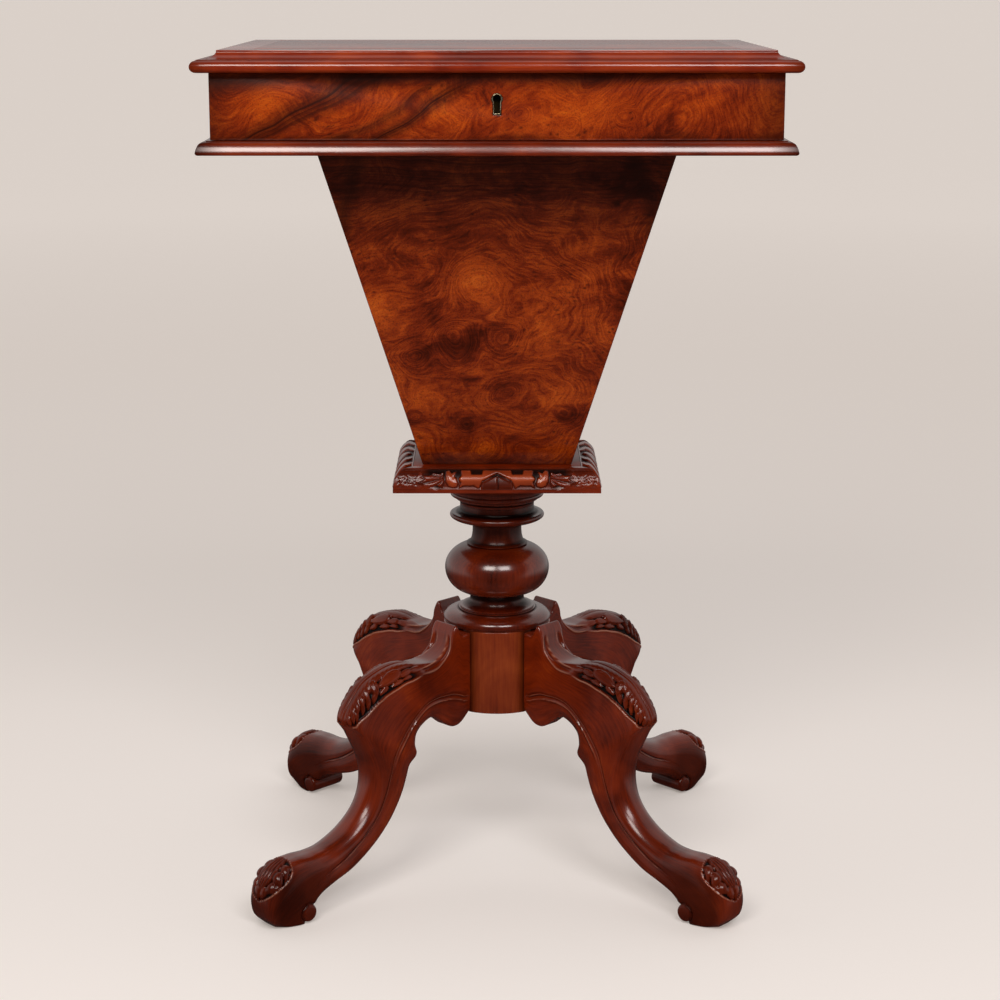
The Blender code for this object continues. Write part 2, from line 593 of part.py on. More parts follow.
# Stations along the leg, block to toe. Upper and lower edge as shares of span out and rise up.
# Then, as shares of the neck's half thickness: half thickness, depth of the rounded crown,
# (the crown's flat part as a share of its width,) depth of the reeded band on the lower edge,
# and how far that band is set back.
LEG_STATIONS = (
    ("block face", (0.000, 0.993), (0.000, 0.660), 1.00, 0.14, 0.90, 0.97, 0.00),
    ("behind lip", (0.043, 0.993), (0.028, 0.632), 1.00, 0.14, 0.90, 0.97, 0.00),
    ("lip crest", (0.066, 1.035), (0.051, 0.615), 1.00, 0.21, 0.85, 0.97, 0.03),
    ("under lip", (0.086, 1.010), (0.083, 0.615), 1.00, 0.28, 0.82, 1.24, 0.07),
    ("neck", (0.102, 0.948), (0.124, 0.644), 1.00, 0.41, 0.78, 1.52, 0.11),
    ("first cusp", (0.170, 0.908), (0.170, 0.671), 1.01, 0.41, 0.76, 1.38, 0.11),
    ("leaf root", (0.247, 0.911), (0.217, 0.658), 1.05, 0.69, 0.45, 1.38, 0.11),
    ("knee", (0.342, 0.920), (0.257, 0.624), 1.10, 0.97, 0.30, 1.38, 0.11),
    ("arch", (0.432, 0.902), (0.266, 0.580), 1.12, 1.10, 0.25, 1.52, 0.11),
    ("second cusp", (0.510, 0.860), (0.257, 0.536), 1.10, 1.10, 0.25, 1.93, 0.11),
    ("leaf tip", (0.586, 0.756), (0.292, 0.500), 1.08, 1.10, 0.30, 1.59, 0.11),
    ("under leaf", (0.549, 0.684), (0.317, 0.458), 1.02, 0.90, 0.35, 1.31, 0.11),
    ("calf", (0.490, 0.567), (0.340, 0.411), 1.00, 0.90, 0.30, 1.10, 0.11),
    ("shin", (0.480, 0.468), (0.370, 0.358), 0.99, 0.90, 0.30, 0.93, 0.11),
    ("lower shin", (0.512, 0.376), (0.421, 0.297), 0.99, 0.90, 0.30, 0.83, 0.11),
    ("instep", (0.587, 0.299), (0.497, 0.224), 1.01, 0.86, 0.30, 0.76, 0.11),
    ("ankle", (0.699, 0.240), (0.600, 0.155), 1.08, 0.90, 0.30, 0.72, 0.08),
    ("toe rim", (0.755, 0.247), (0.686, 0.118), 1.24, 1.10, 0.25, 0.62, 0.03),
    ("toe crown", (0.832, 0.254), (0.763, 0.096), 1.45, 1.24, 0.20, 0.83, 0.00),
    ("toe", (0.906, 0.237), (0.819, 0.040), 1.50, 1.52, 0.20, 1.10, 0.00),
    ("toe front", (0.960, 0.188), (0.853, 0.000), 1.41, 1.38, 0.20, 1.10, 0.00),
    ("toe nose", (0.990, 0.119), (0.882, 0.000), 1.21, 0.83, 0.25, 0.69, 0.00),
    ("toe turn", (0.984, 0.047), (0.908, 0.000), 0.93, 0.34, 0.40, 0.28, 0.00),
    ("toe edge", (0.940, 0.006), (0.926, 0.000), 0.66, 0.04, 0.60, 0.07, 0.00),
)
LEG_STEPS = 2
LEG_ARRIS = math.radians(40)
LEG_SHOULDER_ANGLE = math.radians(50)
LEG_KEEL_SHARE = 0.55
LEG_KEEL_RISE = 0.55
VOLUTE_AT = (0.830, 0.081)


def leg_section_values():
    # Real sizes at each station: upper and lower edge points, then the section's own sizes
    rows = []
    for _, upper, lower, half, crown, crown_flat, band, setback in LEG_STATIONS:
        rows.append((
            upper[0] * LEG_SPAN, upper[1] * LEG_RISE, lower[0] * LEG_SPAN, lower[1] * LEG_RISE,
            half * LEG_NECK_HALF, crown * LEG_NECK_HALF, crown_flat,
            band * LEG_NECK_HALF, setback * LEG_NECK_HALF,
        ))
    return rows


def smooth_rows(rows, steps):
    # Rows of a curve through the given ones
    result = []
    for i in range(len(rows) - 1):
        before = rows[max(i - 1, 0)]
        after = rows[min(i + 2, len(rows) - 1)]
        for j in range(steps):
            t = j / steps
            values = []
            for a, b, c, d in zip(before, rows[i], rows[i + 1], after):
                values.append(0.5 * (2 * b + (c - a) * t + (2 * a - 5 * b + 4 * c - d) * t ** 2
                                     + (3 * b - a - 3 * c + d) * t ** 3))
            result.append(values)
    result.append(rows[-1])
    return result


def leg_ring(row):
    # One section: (share of the way up, half width) on one flank, bottom to top
    upper_out, upper_up, lower_out, lower_up, half, crown, crown_flat, band, setback = row
    height = math.hypot(upper_out - lower_out, upper_up - lower_up)
    inner = half - setback
    keel = inner * LEG_KEEL_SHARE
    shoulder = half * (crown_flat + (1 - crown_flat) * math.sin(LEG_SHOULDER_ANGLE))
    flank = [
        (0.0, keel),
        (band * LEG_KEEL_RISE / 4, (keel + inner) / 2),
        (band * LEG_KEEL_RISE, inner),
        (band - setback, inner),
        (band, half),
        (height - crown, half),
        (height - crown * (1 - math.cos(LEG_SHOULDER_ANGLE)), shoulder),
        (height, half * crown_flat),
    ]
    return [(up / height, across) for up, across in flank]


def leg_mesh(name):
    bm = bmesh.new()
    rings = []
    for row in smooth_rows(leg_section_values(), LEG_STEPS):
        upper = Vector((row[0] + LEG_START, 0, max(row[1], 0.0)))
        lower = Vector((row[2] + LEG_START, 0, max(row[3], 0.0)))
        flank = leg_ring(row)
        loop = []
        for share, across in flank + flank[::-1]:
            side = 1 if len(loop) < len(flank) else -1
            point = lower.lerp(upper, share)
            loop.append(bm.verts.new((point.x, side * across, point.z)))
        rings.append(loop)
    for first, second in zip(rings, rings[1:]):
        for i in range(len(first)):
            j = (i + 1) % len(first)
            bm.faces.new((first[i], first[j], second[j], second[i]))
    bm.faces.new(rings[0])
    bm.faces.new(rings[-1])
    bmesh.ops.recalc_face_normals(bm, faces=bm.faces[:])
    for face in bm.faces:
        face.smooth = True
    for edge in bm.edges:
        edge.smooth = edge.calc_face_angle() < LEG_ARRIS
    return mesh_from(bm, name)


def add_legs():
    # Dovetail tongue at the block end and a volute button through the foot, both joined to the leg
    bm = bmesh.new()
    bmesh.ops.create_cube(bm, size=1.0)
    flare = (DOVETAIL_END_HALF - DOVETAIL_NECK_HALF) / DOVETAIL_DEPTH
    for vert in bm.verts:
        out = DOVETAIL_ROOT if vert.co.x > 0 else -DOVETAIL_DEPTH
        vert.co.x = BLOCK_FLAT + out
        vert.co.y = math.copysign(DOVETAIL_NECK_HALF - flare * out, vert.co.y)
        vert.co.z = BLOCK_TOP - DOVETAIL_SHOULDER if vert.co.z > 0 else BLOCK_BOTTOM + DOVETAIL_SHOULDER
    tongue_mesh = mesh_from(bm, "leg_tongue")
    bm = bmesh.new()
    bmesh.ops.create_cone(bm, cap_ends=True, segments=VOLUTE_STEPS, radius1=VOLUTE_RADIUS,
                          radius2=VOLUTE_RADIUS, depth=2 * VOLUTE_HALF_LENGTH)
    bmesh.ops.rotate(bm, matrix=Matrix.Rotation(math.pi / 2, 3, "X"), verts=bm.verts[:])
    volute = (LEG_START + VOLUTE_AT[0] * LEG_SPAN, 0, VOLUTE_AT[1] * LEG_RISE)
    bmesh.ops.translate(bm, vec=volute, verts=bm.verts[:])
    volute_mesh = mesh_from(bm, "leg_volute")
    for name, turn in leg_turns().items():
        leg = add_piece(name, leg_mesh(name), "polished_walnut", turn=turn)
        combine(leg, add_cutter(name + "_tongue", tongue_mesh, turn=turn), "UNION")
        combine(leg, add_cutter(name + "_volute", volute_mesh, turn=turn), "UNION")


def hinge_leaf(name, centre_x, above, knuckles, parent):
    # A leaf let into the wood, with its share of the knuckles
    low = 0.0 if above else -HINGE_LEAF_THICKNESS
    low += GAP / 2 if above else -GAP / 2
    high = low + HINGE_LEAF_THICKNESS
    half = HINGE_LENGTH / 2
    relief = KNUCKLE_RADIUS + GAP
    mesh = box_mesh(name, (-half, -HINGE_LEAF_WIDTH, low), (half, -relief, high))
    place = (centre_x, HINGE_Y, HINGE_Z)
    leaf = add_piece(name, mesh, "brass", place, parent=parent)
    for i, (start, stop) in enumerate(knuckles):
        web = box_mesh(name, (start, -relief - HINGE_LEAF_THICKNESS, low), (stop, 0.0, high))
        combine(leaf, add_cutter(name + "_web_" + str(i), web, place), "UNION")
        barrel = round_bar_mesh(name, KNUCKLE_RADIUS, start, stop, HINGE_ROUND_STEPS, True)
        combine(leaf, add_cutter(name + "_barrel_" + str(i), barrel, place), "UNION")
    bore = round_bar_mesh(name, HINGE_PIN_RADIUS + HINGE_PIN_CLEARANCE, -HINGE_LENGTH, HINGE_LENGTH,
                          HINGE_ROUND_STEPS, True)
    combine(leaf, add_cutter(name + "_bore", bore, place), "DIFFERENCE")


def add_hinges(pivot):
    half = HINGE_LENGTH / 2
    third = HINGE_LENGTH / 6
    box_back = bpy.data.objects["box_back"]
    lid_back = bpy.data.objects["lid_moulding_back"]
    for side, sign in (("left", -1), ("right", 1)):
        x = sign * (BOX_WIDTH / 2 - HINGE_INSET)
        place = (x, HINGE_Y, HINGE_Z)
        hinge_leaf("hinge_leaf_box_" + side, x, False, ((-half, -third), (third, half)), None)
        hinge_leaf("hinge_leaf_lid_" + side, x, True, ((GAP - third, third - GAP),), pivot)
        pin = round_bar_mesh("hinge_pin", HINGE_PIN_RADIUS, -half, half, HINGE_ROUND_STEPS, True)
        add_piece("hinge_pin_" + side, pin, "brass", place)

        sink = HINGE_LEAF_THICKNESS + 1.5 * GAP
        reach = HINGE_LEAF_WIDTH + GAP
        room = box_mesh("recess", (-half - GAP, -reach, -sink), (half + GAP, reach, sink))
        combine(box_back, add_cutter("hinge_recess_box_" + side, room, place), "DIFFERENCE")
        room = box_mesh("recess", (-half - GAP, -reach, -sink), (half + GAP, 0.0, sink))
        combine(lid_back, add_cutter("hinge_recess_lid_" + side, room, place), "DIFFERENCE")
        groove = KNUCKLE_RADIUS + 2 * GAP
        room = box_mesh("groove", (-half - GAP, -groove, -groove), (half + GAP, groove, groove))
        combine(lid_back, add_cutter("hinge_groove_lid_" + side, room, place), "DIFFERENCE")


def keyhole_outline(margin):
    # Round head over a flared slot, drawn in X and Z about the head's centre
    radius = KEYHOLE_HEAD_RADIUS + margin
    foot = KEYHOLE_HEAD_RADIUS - KEYHOLE_HEIGHT - margin
    half = KEYHOLE_FOOT_HALF + margin
    points = arc((0, 0), (radius, radius), -40, 220, 14)
    points.append((-half, foot))
    points.append((half, foot))
    return points


def lock_levels():
    # Heights below the box's top edge: toe of the hook, bolt finger, bolt spine
    toe_low = BOX_TOP - HOOK_DROP
    toe_high = toe_low + HOOK_TOE_HEIGHT
    finger_low = toe_high + GAP
    finger_high = finger_low + BOLT_FINGER_HEIGHT
    spine_high = toe_low - GAP
    spine_low = spine_high - BOLT_SPINE_HEIGHT
    return toe_low, toe_high, finger_low, finger_high, spine_high, spine_low


def add_lock(pivot):
    toe_low, toe_high, finger_low, finger_high, spine_high, spine_low = lock_levels()
    front = bpy.data.objects["box_front"]
    case_low = BOX_TOP - LOCK_HEIGHT
    half_case = LOCK_WIDTH / 2
    lock_front = LOCK_Y - LOCK_DEPTH / 2
    lock_back = LOCK_Y + LOCK_DEPTH / 2
    case = board("lock_case", (-half_case, lock_front, case_low), (half_case, lock_back, BOX_TOP), "brass")
    room = box_mesh("lock_room", (-half_case - GAP, lock_front - GAP, case_low - GAP),
                    (half_case + GAP, lock_back + LOCK_DEPTH, BOX_TOP + LOCK_DEPTH))
    combine(front, add_cutter("lock_room", room), "DIFFERENCE")

    # Hooks under the link plate, let into the lid above the case
    room = HOOK_PLAY + GAP
    half_thick = HOOK_THICKNESS / 2
    plate_top = LID_BOTTOM + LOCK_PLATE
    link = box_mesh("lock_link_plate", (-half_case, lock_front, LID_BOTTOM),
                    (half_case, lock_back, plate_top))
    link_plate = add_piece("lock_link_plate", link, "brass", parent=pivot)
    lid_front = bpy.data.objects["lid_moulding_front"]
    recess = box_mesh("link_recess", (-half_case - GAP, lock_front - GAP, LID_BOTTOM - LOCK_PLATE),
                      (half_case + GAP, lock_back + GAP, plate_top + GAP))
    combine(lid_front, add_cutter("link_recess", recess), "DIFFERENCE")
    stems = (-HOOK_SPACING / 2, HOOK_SPACING / 2)
    for i, stem in enumerate(stems):
        hook = [(stem, plate_top - GAP), (stem, toe_high), (stem - HOOK_TOE, toe_high),
                (stem - HOOK_TOE, toe_low), (stem + HOOK_STEM, toe_low),
                (stem + HOOK_STEM, plate_top - GAP)]
        mesh = extruded_mesh("lock_hook", hook, LOCK_Y - half_thick, LOCK_Y + half_thick, (0, 2, 1))
        combine(link_plate, add_cutter("lock_hook_" + str(i), mesh), "UNION")
        slot = box_mesh("hook_slot", (stem - HOOK_TOE - room, LOCK_Y - half_thick - room, toe_low - GAP),
                        (stem + HOOK_STEM + room, LOCK_Y + half_thick + room, BOX_TOP + LOCK_DEPTH))
        combine(case, add_cutter("hook_slot_" + str(i), slot), "DIFFERENCE")

    # Bolt: a spine under the hooks' toes with a finger that slides over each toe
    tips = [stem - HOOK_TOE - HOOK_PLAY for stem in stems]
    outline = [(tips[0] - BOLT_FINGER - BOLT_POST, spine_low)]
    outline.append((tips[1], spine_low))
    outline.append((tips[1], spine_high))
    for tip in reversed(tips):
        post = tip - BOLT_FINGER
        outline += [(post, spine_high), (post, finger_low), (tip, finger_low), (tip, finger_high),
                    (post - BOLT_POST, finger_high)]
        if tip != tips[0]:
            outline.append((post - BOLT_POST, spine_high))
    half_bolt = half_thick
    mesh = extruded_mesh("lock_bolt", outline, -half_bolt, half_bolt, (0, 2, 1))
    add_piece("lock_bolt", mesh, "steel", (0, LOCK_Y, 0))
    left = tips[0] - BOLT_FINGER - BOLT_POST - GAP
    right = tips[1] + BOLT_TRAVEL + GAP
    channel = box_mesh("bolt_channel", (left, LOCK_Y - half_bolt - GAP, spine_low - GAP),
                       (right, LOCK_Y + half_bolt + GAP, finger_high + GAP))
    combine(case, add_cutter("bolt_channel", channel), "DIFFERENCE")

    # Keyhole through the front board into the case, lined by a thin escutcheon
    centre = BOX_TOP - KEYHOLE_DROP
    face = -BOX_DEPTH / 2
    hole = extruded_mesh("keyhole", keyhole_outline(GAP), face - KEYHOLE_POCKET, lock_front + GAP, (0, 2, 1))
    combine(front, add_cutter("keyhole", hole, (0, 0, centre)), "DIFFERENCE")
    pocket = extruded_mesh("key_pocket", keyhole_outline(-ESCUTCHEON_RIM), lock_front - KEYHOLE_POCKET,
                           lock_front + KEYHOLE_POCKET, (0, 2, 1))
    combine(case, add_cutter("key_pocket", pocket, (0, 0, centre)), "DIFFERENCE")
    rim = extruded_mesh("keyhole_escutcheon", keyhole_outline(0.0), face, face + ESCUTCHEON_DEPTH, (0, 2, 1))
    escutcheon = add_piece("keyhole_escutcheon", rim, "brass", (0, 0, centre))
    bore = extruded_mesh("escutcheon_bore", keyhole_outline(-ESCUTCHEON_RIM), face - ESCUTCHEON_DEPTH,
                         face + 2 * ESCUTCHEON_DEPTH, (0, 2, 1))
    combine(escutcheon, add_cutter("escutcheon_bore", bore, (0, 0, centre)), "DIFFERENCE")


def main():
    pivot = bpy.data.objects.new("lid_pivot", None)
    PARTS.objects.link(pivot)
    pivot.location = (0, HINGE_Y, HINGE_Z)
    add_lid(pivot)
    add_box()
    add_base()
    add_compartments()
    add_trumpet()
    add_collar()
    add_column()
    add_block()
    add_legs()
    add_hinges(pivot)
    add_lock(pivot)


main()
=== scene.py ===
import functools
import math

import bmesh
import bpy
import numpy as np
from mathutils import Matrix, Vector


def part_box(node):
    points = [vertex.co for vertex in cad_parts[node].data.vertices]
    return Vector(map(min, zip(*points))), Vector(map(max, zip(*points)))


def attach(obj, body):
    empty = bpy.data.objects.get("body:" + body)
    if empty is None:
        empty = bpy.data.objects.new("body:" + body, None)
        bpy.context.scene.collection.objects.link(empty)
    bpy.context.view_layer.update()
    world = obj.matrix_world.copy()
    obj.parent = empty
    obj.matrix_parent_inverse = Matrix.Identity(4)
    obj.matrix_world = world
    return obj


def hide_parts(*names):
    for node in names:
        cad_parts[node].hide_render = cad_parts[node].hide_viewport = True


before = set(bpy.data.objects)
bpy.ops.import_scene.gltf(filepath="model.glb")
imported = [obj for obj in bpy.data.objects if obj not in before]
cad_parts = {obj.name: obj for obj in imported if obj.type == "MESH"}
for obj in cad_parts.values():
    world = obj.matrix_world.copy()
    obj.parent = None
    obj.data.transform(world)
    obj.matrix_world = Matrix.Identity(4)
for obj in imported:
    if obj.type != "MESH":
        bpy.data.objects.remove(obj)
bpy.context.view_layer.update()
print("frame loaded with", len(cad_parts), "nodes")


# Small helpers for colours, nodes and materials
def linearColour(hexText):
    channels = [int(hexText[i:i + 2], 16) / 255 for i in (1, 3, 5)]
    linear = [c / 12.92 if c <= 0.04045 else ((c + 0.055) / 1.055) ** 2.4 for c in channels]
    return (*linear, 1.0)


def perMm(size):
    return 1000.0 / size  # a noise scale whose features are about this many millimetres


def addNode(tree, kind, settings=None, links=None):
    # a link comes from a node's first live output, or from a pair of node and output name
    node = tree.nodes.new("ShaderNode" + kind)
    for key, value in (settings or {}).items():
        if key == "stops":
            elements = node.color_ramp.elements
            for element, (place, hexText) in zip(elements, (value[0], value[-1])):
                element.position = place
                element.color = linearColour(hexText)
            for place, hexText in value[1:-1]:
                elements.new(place).color = linearColour(hexText)
        elif isinstance(key, int) or key in node.inputs:
            node.inputs[key].default_value = value
        else:
            setattr(node, key, value)
    for key, source in (links or {}).items():
        if isinstance(source, tuple):
            output = source[0].outputs[source[1]]
        else:
            output = next(socket for socket in source.outputs if socket.enabled)
        tree.links.new(output, node.inputs[key])
    return node


def newMaterial(name):
    # an empty material, what adds a node to it, and the piece's own coordinates
    material = bpy.data.materials.new(name)
    material.use_nodes = True
    material.node_tree.nodes.clear()
    add = functools.partial(addNode, material.node_tree)
    return material, add, (add("TexCoord"), "Object")


def closeMaterial(add, surface, colour, rough, relief, more=None):
    # rough: what it varies with, least and most. Relief: its height, strength and depth in mm
    matt = add("MapRange", {"To Min": rough[1], "To Max": rough[2]}, {"Value": rough[0]})
    lift = add("Bump", {"Strength": relief[1], "Distance": relief[2] / 1000}, {"Height": relief[0]})
    shader = add("BsdfPrincipled", surface,
                 {"Base Color": colour, "Roughness": matt, "Normal": lift, **(more or {})})
    add("OutputMaterial", {}, {"Surface": shader})


# one clear coat makes the shine, the wood under it makes none
frenchPolish = {"IOR": 1.5, "Specular IOR Level": 0.08, "Coat Weight": 1.0, "Coat Roughness": 0.19,
                "Coat IOR": 1.5}


# Walnut burr veneer under French polish: orange-brown clouds and swirling growth lines,
# dark eyes in clusters, dark heart streaks and bands of painted shade, under a deep gloss
def burrVeneer(name, look):
    material, add, place = newMaterial(name)
    turned = add("Mapping", {"Location": look["shift"], "Rotation": look["turn"]}, {"Vector": place})
    drawn = add("Mapping", {"Scale": look["stretch"]}, {"Vector": turned})
    drift = add("TexNoise", {"Scale": perMm(look["swirlMm"]), "Detail": 2.0, "Roughness": 0.5},
                {"Vector": drawn})
    reach = look["reachMm"] / 1000
    offset = add("VectorMath", {"operation": "MULTIPLY_ADD", 1: (reach,) * 3, 2: (-reach / 2,) * 3},
                 {0: (drift, "Color")})
    swirled = add("VectorMath", {"operation": "ADD"}, {0: drawn, 1: offset})
    cloud = add("TexNoise", {"Scale": perMm(look["cloudMm"]), "Detail": 7.0, "Roughness": 0.58,
                             "Distortion": 0.5}, {"Vector": swirled})
    spread = look["cloudShare"] / 2
    tone = add("MapRange", {"To Min": 0.5 - spread, "To Max": 0.5 + spread}, {"Value": cloud})

    # growth lines follow the contours of a broad swirl and curl round spots, lighter or darker than the rest
    field = add("TexNoise", {"Scale": perMm(look["ringMm"]), "Detail": 2.5, "Roughness": 0.45},
                {"Vector": swirled})
    bent = add("VectorMath", {"operation": "ADD"}, {0: place, 1: offset})
    flat = add("VectorMath", {"operation": "MULTIPLY", 1: (1.0, 0.0, 1.0)}, {0: bent})
    ragged = add("Math", {"operation": "SUBTRACT", 1: 0.5}, {0: cloud})
    smooth = {"interpolation_type": "SMOOTHSTEP", "To Max": 0.0}
    for x, z, radius, curl, light in look["spots"]:
        gap = add("VectorMath", {"operation": "DISTANCE", 1: (x / 1000, 0.0, z / 1000)}, {0: flat})
        frayed = add("Math", {"operation": "MULTIPLY_ADD", 1: look["fray"] * radius / 1000},
                     {0: ragged, 2: gap})
        within = {**smooth, "From Max": radius / 1000}
        curled = add("MapRange", {**within, "To Min": curl}, {"Value": gap})
        lit = add("MapRange", {**within, "To Min": light}, {"Value": frayed})
        field = add("Math", {"operation": "ADD"}, {0: curled, 1: field})
        tone = add("Math", {"operation": "ADD"}, {0: lit, 1: tone})
    rings = add("Math", {"operation": "MULTIPLY", 1: look["rings"]}, {0: field})
    slow = add("VectorMath", {"operation": "SCALE", "Scale": perMm(look["lineMm"])}, {0: place})
    wave = add("TexNoise", {"noise_dimensions": "4D", "Scale": 1.0, "Detail": 3.0, "Roughness": 0.68},
               {"Vector": slow, "W": rings})
    fibre = add("Mapping", {"Scale": (0.12, 1.0, 1.0)}, {"Vector": swirled})
    hair = add("TexNoise", {"Scale": perMm(look["hairMm"]), "Detail": 3.0}, {"Vector": fibre})
    for lines, share in ((wave, look["lineShare"]), (hair, look["hairShare"])):
        centred = add("Math", {"operation": "MULTIPLY_ADD", 1: share, 2: -share / 2}, {0: lines})
        tone = add("Math", {"operation": "ADD"}, {0: tone, 1: centred})
    wood = add("ValToRGB", {"stops": look["stops"]}, {"Fac": tone})

    # dark eyes stand in clusters
    patch = add("TexNoise", {"Scale": perMm(look["clusterMm"]), "Detail": 1.0}, {"Vector": turned})
    crowd = add("MapRange", {"From Min": 0.5, "From Max": 0.62, "To Max": 0.75}, {"Value": patch})
    eyes = add("TexVoronoi", {"Scale": perMm(look["eyeMm"]), "Randomness": 1.0}, {"Vector": swirled})
    eye = add("MapRange", {"From Min": 0.06, "From Max": 0.3, "To Min": 1.0, "To Max": 0.0}, {"Value": eyes})
    knot = add("Math", {"operation": "MULTIPLY"}, {0: eye, 1: crowd})
    shown = add("Mix", {"data_type": "RGBA", 7: linearColour(look["eyeColour"])}, {0: knot, 6: wood})

    # dark heart streaks, and bands of painted shade along edges: bands across a direction, wavering with the
    # figure, gone beyond an end in x
    ends = add("SeparateXYZ", {}, {"Vector": place})
    for streak in look["streaks"]:
        level = add("VectorMath", {"operation": "DOT_PRODUCT", 1: streak["across"]}, {0: bent})
        away = add("Math", {"operation": "SUBTRACT", 1: streak["at"]}, {0: level})
        apart = add("Math", {"operation": "ABSOLUTE"}, {0: away})
        band = add("MapRange", {**smooth, "From Max": streak["halfMm"] / 1000, "To Min": streak["depth"]},
                   {"Value": apart})
        fade = add("MapRange", {**smooth, "From Min": streak["full"], "From Max": streak["gone"],
                                "To Min": 1.0}, {"Value": (ends, "X")})
        threads = add("TexNoise", {"noise_dimensions": "1D", "Scale": perMm(look["threadMm"]), "Detail": 3.0,
                                   "Roughness": 0.65}, {"W": level})
        grain = add("MapRange", {"From Min": 0.36, "From Max": 0.6, "To Min": streak["grain"]},
                    {"Value": threads})
        share = add("Math", {"operation": "MULTIPLY"}, {0: band, 1: fade})
        share = add("Math", {"operation": "MULTIPLY"}, {0: share, 1: grain})
        shown = add("Mix", {"data_type": "RGBA", 7: linearColour(streak["colour"])}, {0: share, 6: shown})

    pores = add("TexNoise", {"Scale": perMm(look["poreMm"]), "Detail": 4.0}, {"Vector": turned})
    fleck = add("MapRange", {"From Min": 0.34, "From Max": 0.5, "To Min": 0.45, "To Max": 0.0},
                {"Value": pores})
    shown = add("Mix", {"data_type": "RGBA", 7: linearColour(look["poreColour"])}, {0: fleck, 6: shown})
    closeMaterial(add, {**frenchPolish, **look["polish"]}, shown, (cloud, 0.26, 0.40), (pores, 0.05, 0.1))
    return material


# Solid walnut stained red-brown and French polished: fine fibres along its length,
# cloudy tone, near-black painted shade where shade falls, pale edges of wear and painted highlight, a
# wet-looking gloss
def polishedWalnut(name, look):
    material, add, place = newMaterial(name)
    along = add("Mapping", {"Scale": look["stretch"]}, {"Vector": (place[0], look["coords"])})
    fibre = add("TexNoise", {"Scale": perMm(look["fibreMm"]), "Detail": 6.0, "Roughness": 0.6},
                {"Vector": along})
    cloud = add("TexNoise", {"Scale": perMm(look["cloudMm"]), "Detail": 4.0, "Distortion": 0.6},
                {"Vector": place})
    share = look["fibreShare"]
    lines = add("Math", {"operation": "MULTIPLY_ADD", 1: share, 2: -share / 2}, {0: fibre})
    calm = add("MapRange", {"To Min": 0.25, "To Max": 0.75}, {"Value": cloud})
    tone = add("Math", {"operation": "ADD"}, {0: calm, 1: lines})
    shown = add("ValToRGB", {"stops": look["stops"]}, {"Fac": tone})
    gloss = {}
    if look["carved"]:
        # recess: positive is painted shade, which also dulls the gloss; negative is pale wear with painted
        # highlight
        dirt = (add("Attribute", {"attribute_name": "recess"}), "Fac")
        rubAndHighlight = add("MapRange", {"From Min": 0.0, "From Max": -0.6, "To Max": 0.6}, {"Value": dirt})
        for laid, colour in ((dirt, "dirtColour"), (rubAndHighlight, "rubColour")):
            shown = add("Mix", {"data_type": "RGBA", 7: linearColour(look[colour])}, {0: laid, 6: shown})
        gloss["Coat Weight"] = add("MapRange", {"From Max": 0.7, "To Min": 1.0, "To Max": 0.1},
                                   {"Value": dirt})
    polish = {**frenchPolish, **look["polish"]}
    closeMaterial(add, polish, shown, (cloud, 0.24, 0.42), (fibre, 0.05, 0.1), gloss)
    return material


# Planed and waxed hardwood inside the box: pale brown, straight fibres, satin
def innerWood(name, look):
    material, add, place = newMaterial(name)
    along = add("Mapping", {"Scale": look["stretch"]}, {"Vector": place})
    fibre = add("TexNoise", {"Scale": perMm(look["fibreMm"]), "Detail": 6.0, "Roughness": 0.65},
                {"Vector": along})
    wood = add("ValToRGB", {"stops": look["stops"]}, {"Fac": fibre})
    closeMaterial(add, {"IOR": 1.5}, wood, (fibre, 0.45, 0.62), (fibre, 0.15, 0.1))
    return material


# Old metal, rubbed bright on the faces and tarnished in clouds, with fine file marks
def wornMetal(name, look):
    material, add, place = newMaterial(name)
    tarnish = add("TexNoise", {"Scale": perMm(look["cloudMm"]), "Detail": 6.0, "Roughness": 0.6},
                  {"Vector": place})
    filed = add("Mapping", {"Scale": (0.08, 1.0, 1.0)}, {"Vector": place})
    scratch = add("TexNoise", {"Scale": perMm(look["scratchMm"]), "Detail": 3.0}, {"Vector": filed})
    metal = add("ValToRGB", {"stops": look["stops"]}, {"Fac": tarnish})
    closeMaterial(add, {"Metallic": 1.0}, metal, (tarnish, *look["rough"]), (scratch, 0.1, 0.05))
    return material


burrStops = ((0.28, "#200700"), (0.40, "#531300"), (0.50, "#7c2500"), (0.60, "#a03d03"), (0.74, "#bc5708"))
wellStops = ((0.28, "#1a0500"), (0.40, "#471000"), (0.50, "#6e2001"), (0.60, "#963903"), (0.74, "#b4520a"))
burrBase = {"shift": (0, 0, 0), "turn": (0, math.radians(30), 0), "stretch": (0.6, 1.0, 1.0), "swirlMm": 55,
            "reachMm": 30, "cloudMm": 26, "cloudShare": 0.5, "ringMm": 75, "rings": 55, "lineShare": 0.4,
            "lineMm": 18, "hairShare": 0.1, "hairMm": 1.9, "eyeMm": 5, "clusterMm": 60, "threadMm": 2.4,
            "poreMm": 1.3, "fray": 1.6, "stops": burrStops, "eyeColour": "#220803", "poreColour": "#2c0d04",
            "streaks": (), "spots": (), "polish": {"Coat IOR": 1.37}}
heartStreak = {"across": (-0.485, 0.0, 0.874), "halfMm": 15, "depth": 0.97, "full": -0.05, "gone": 0.01,
               "colour": "#240802", "grain": 0.6}
endDarkening = {**heartStreak, "across": (1.0, 0.0, 0.0), "full": 8, "gone": 9, "grain": 0.9, "depth": 0.75}
paintedEdgeShade = {**endDarkening, "across": (0.0, 0.0, 1.0)}  # painted shade along a board's edges, made like the darker bands at its ends
# painted shade where the well's panels turn at their mitred corners
paintedMitreShade = {**endDarkening, "at": -0.290, "halfMm": 14, "depth": 0.7}
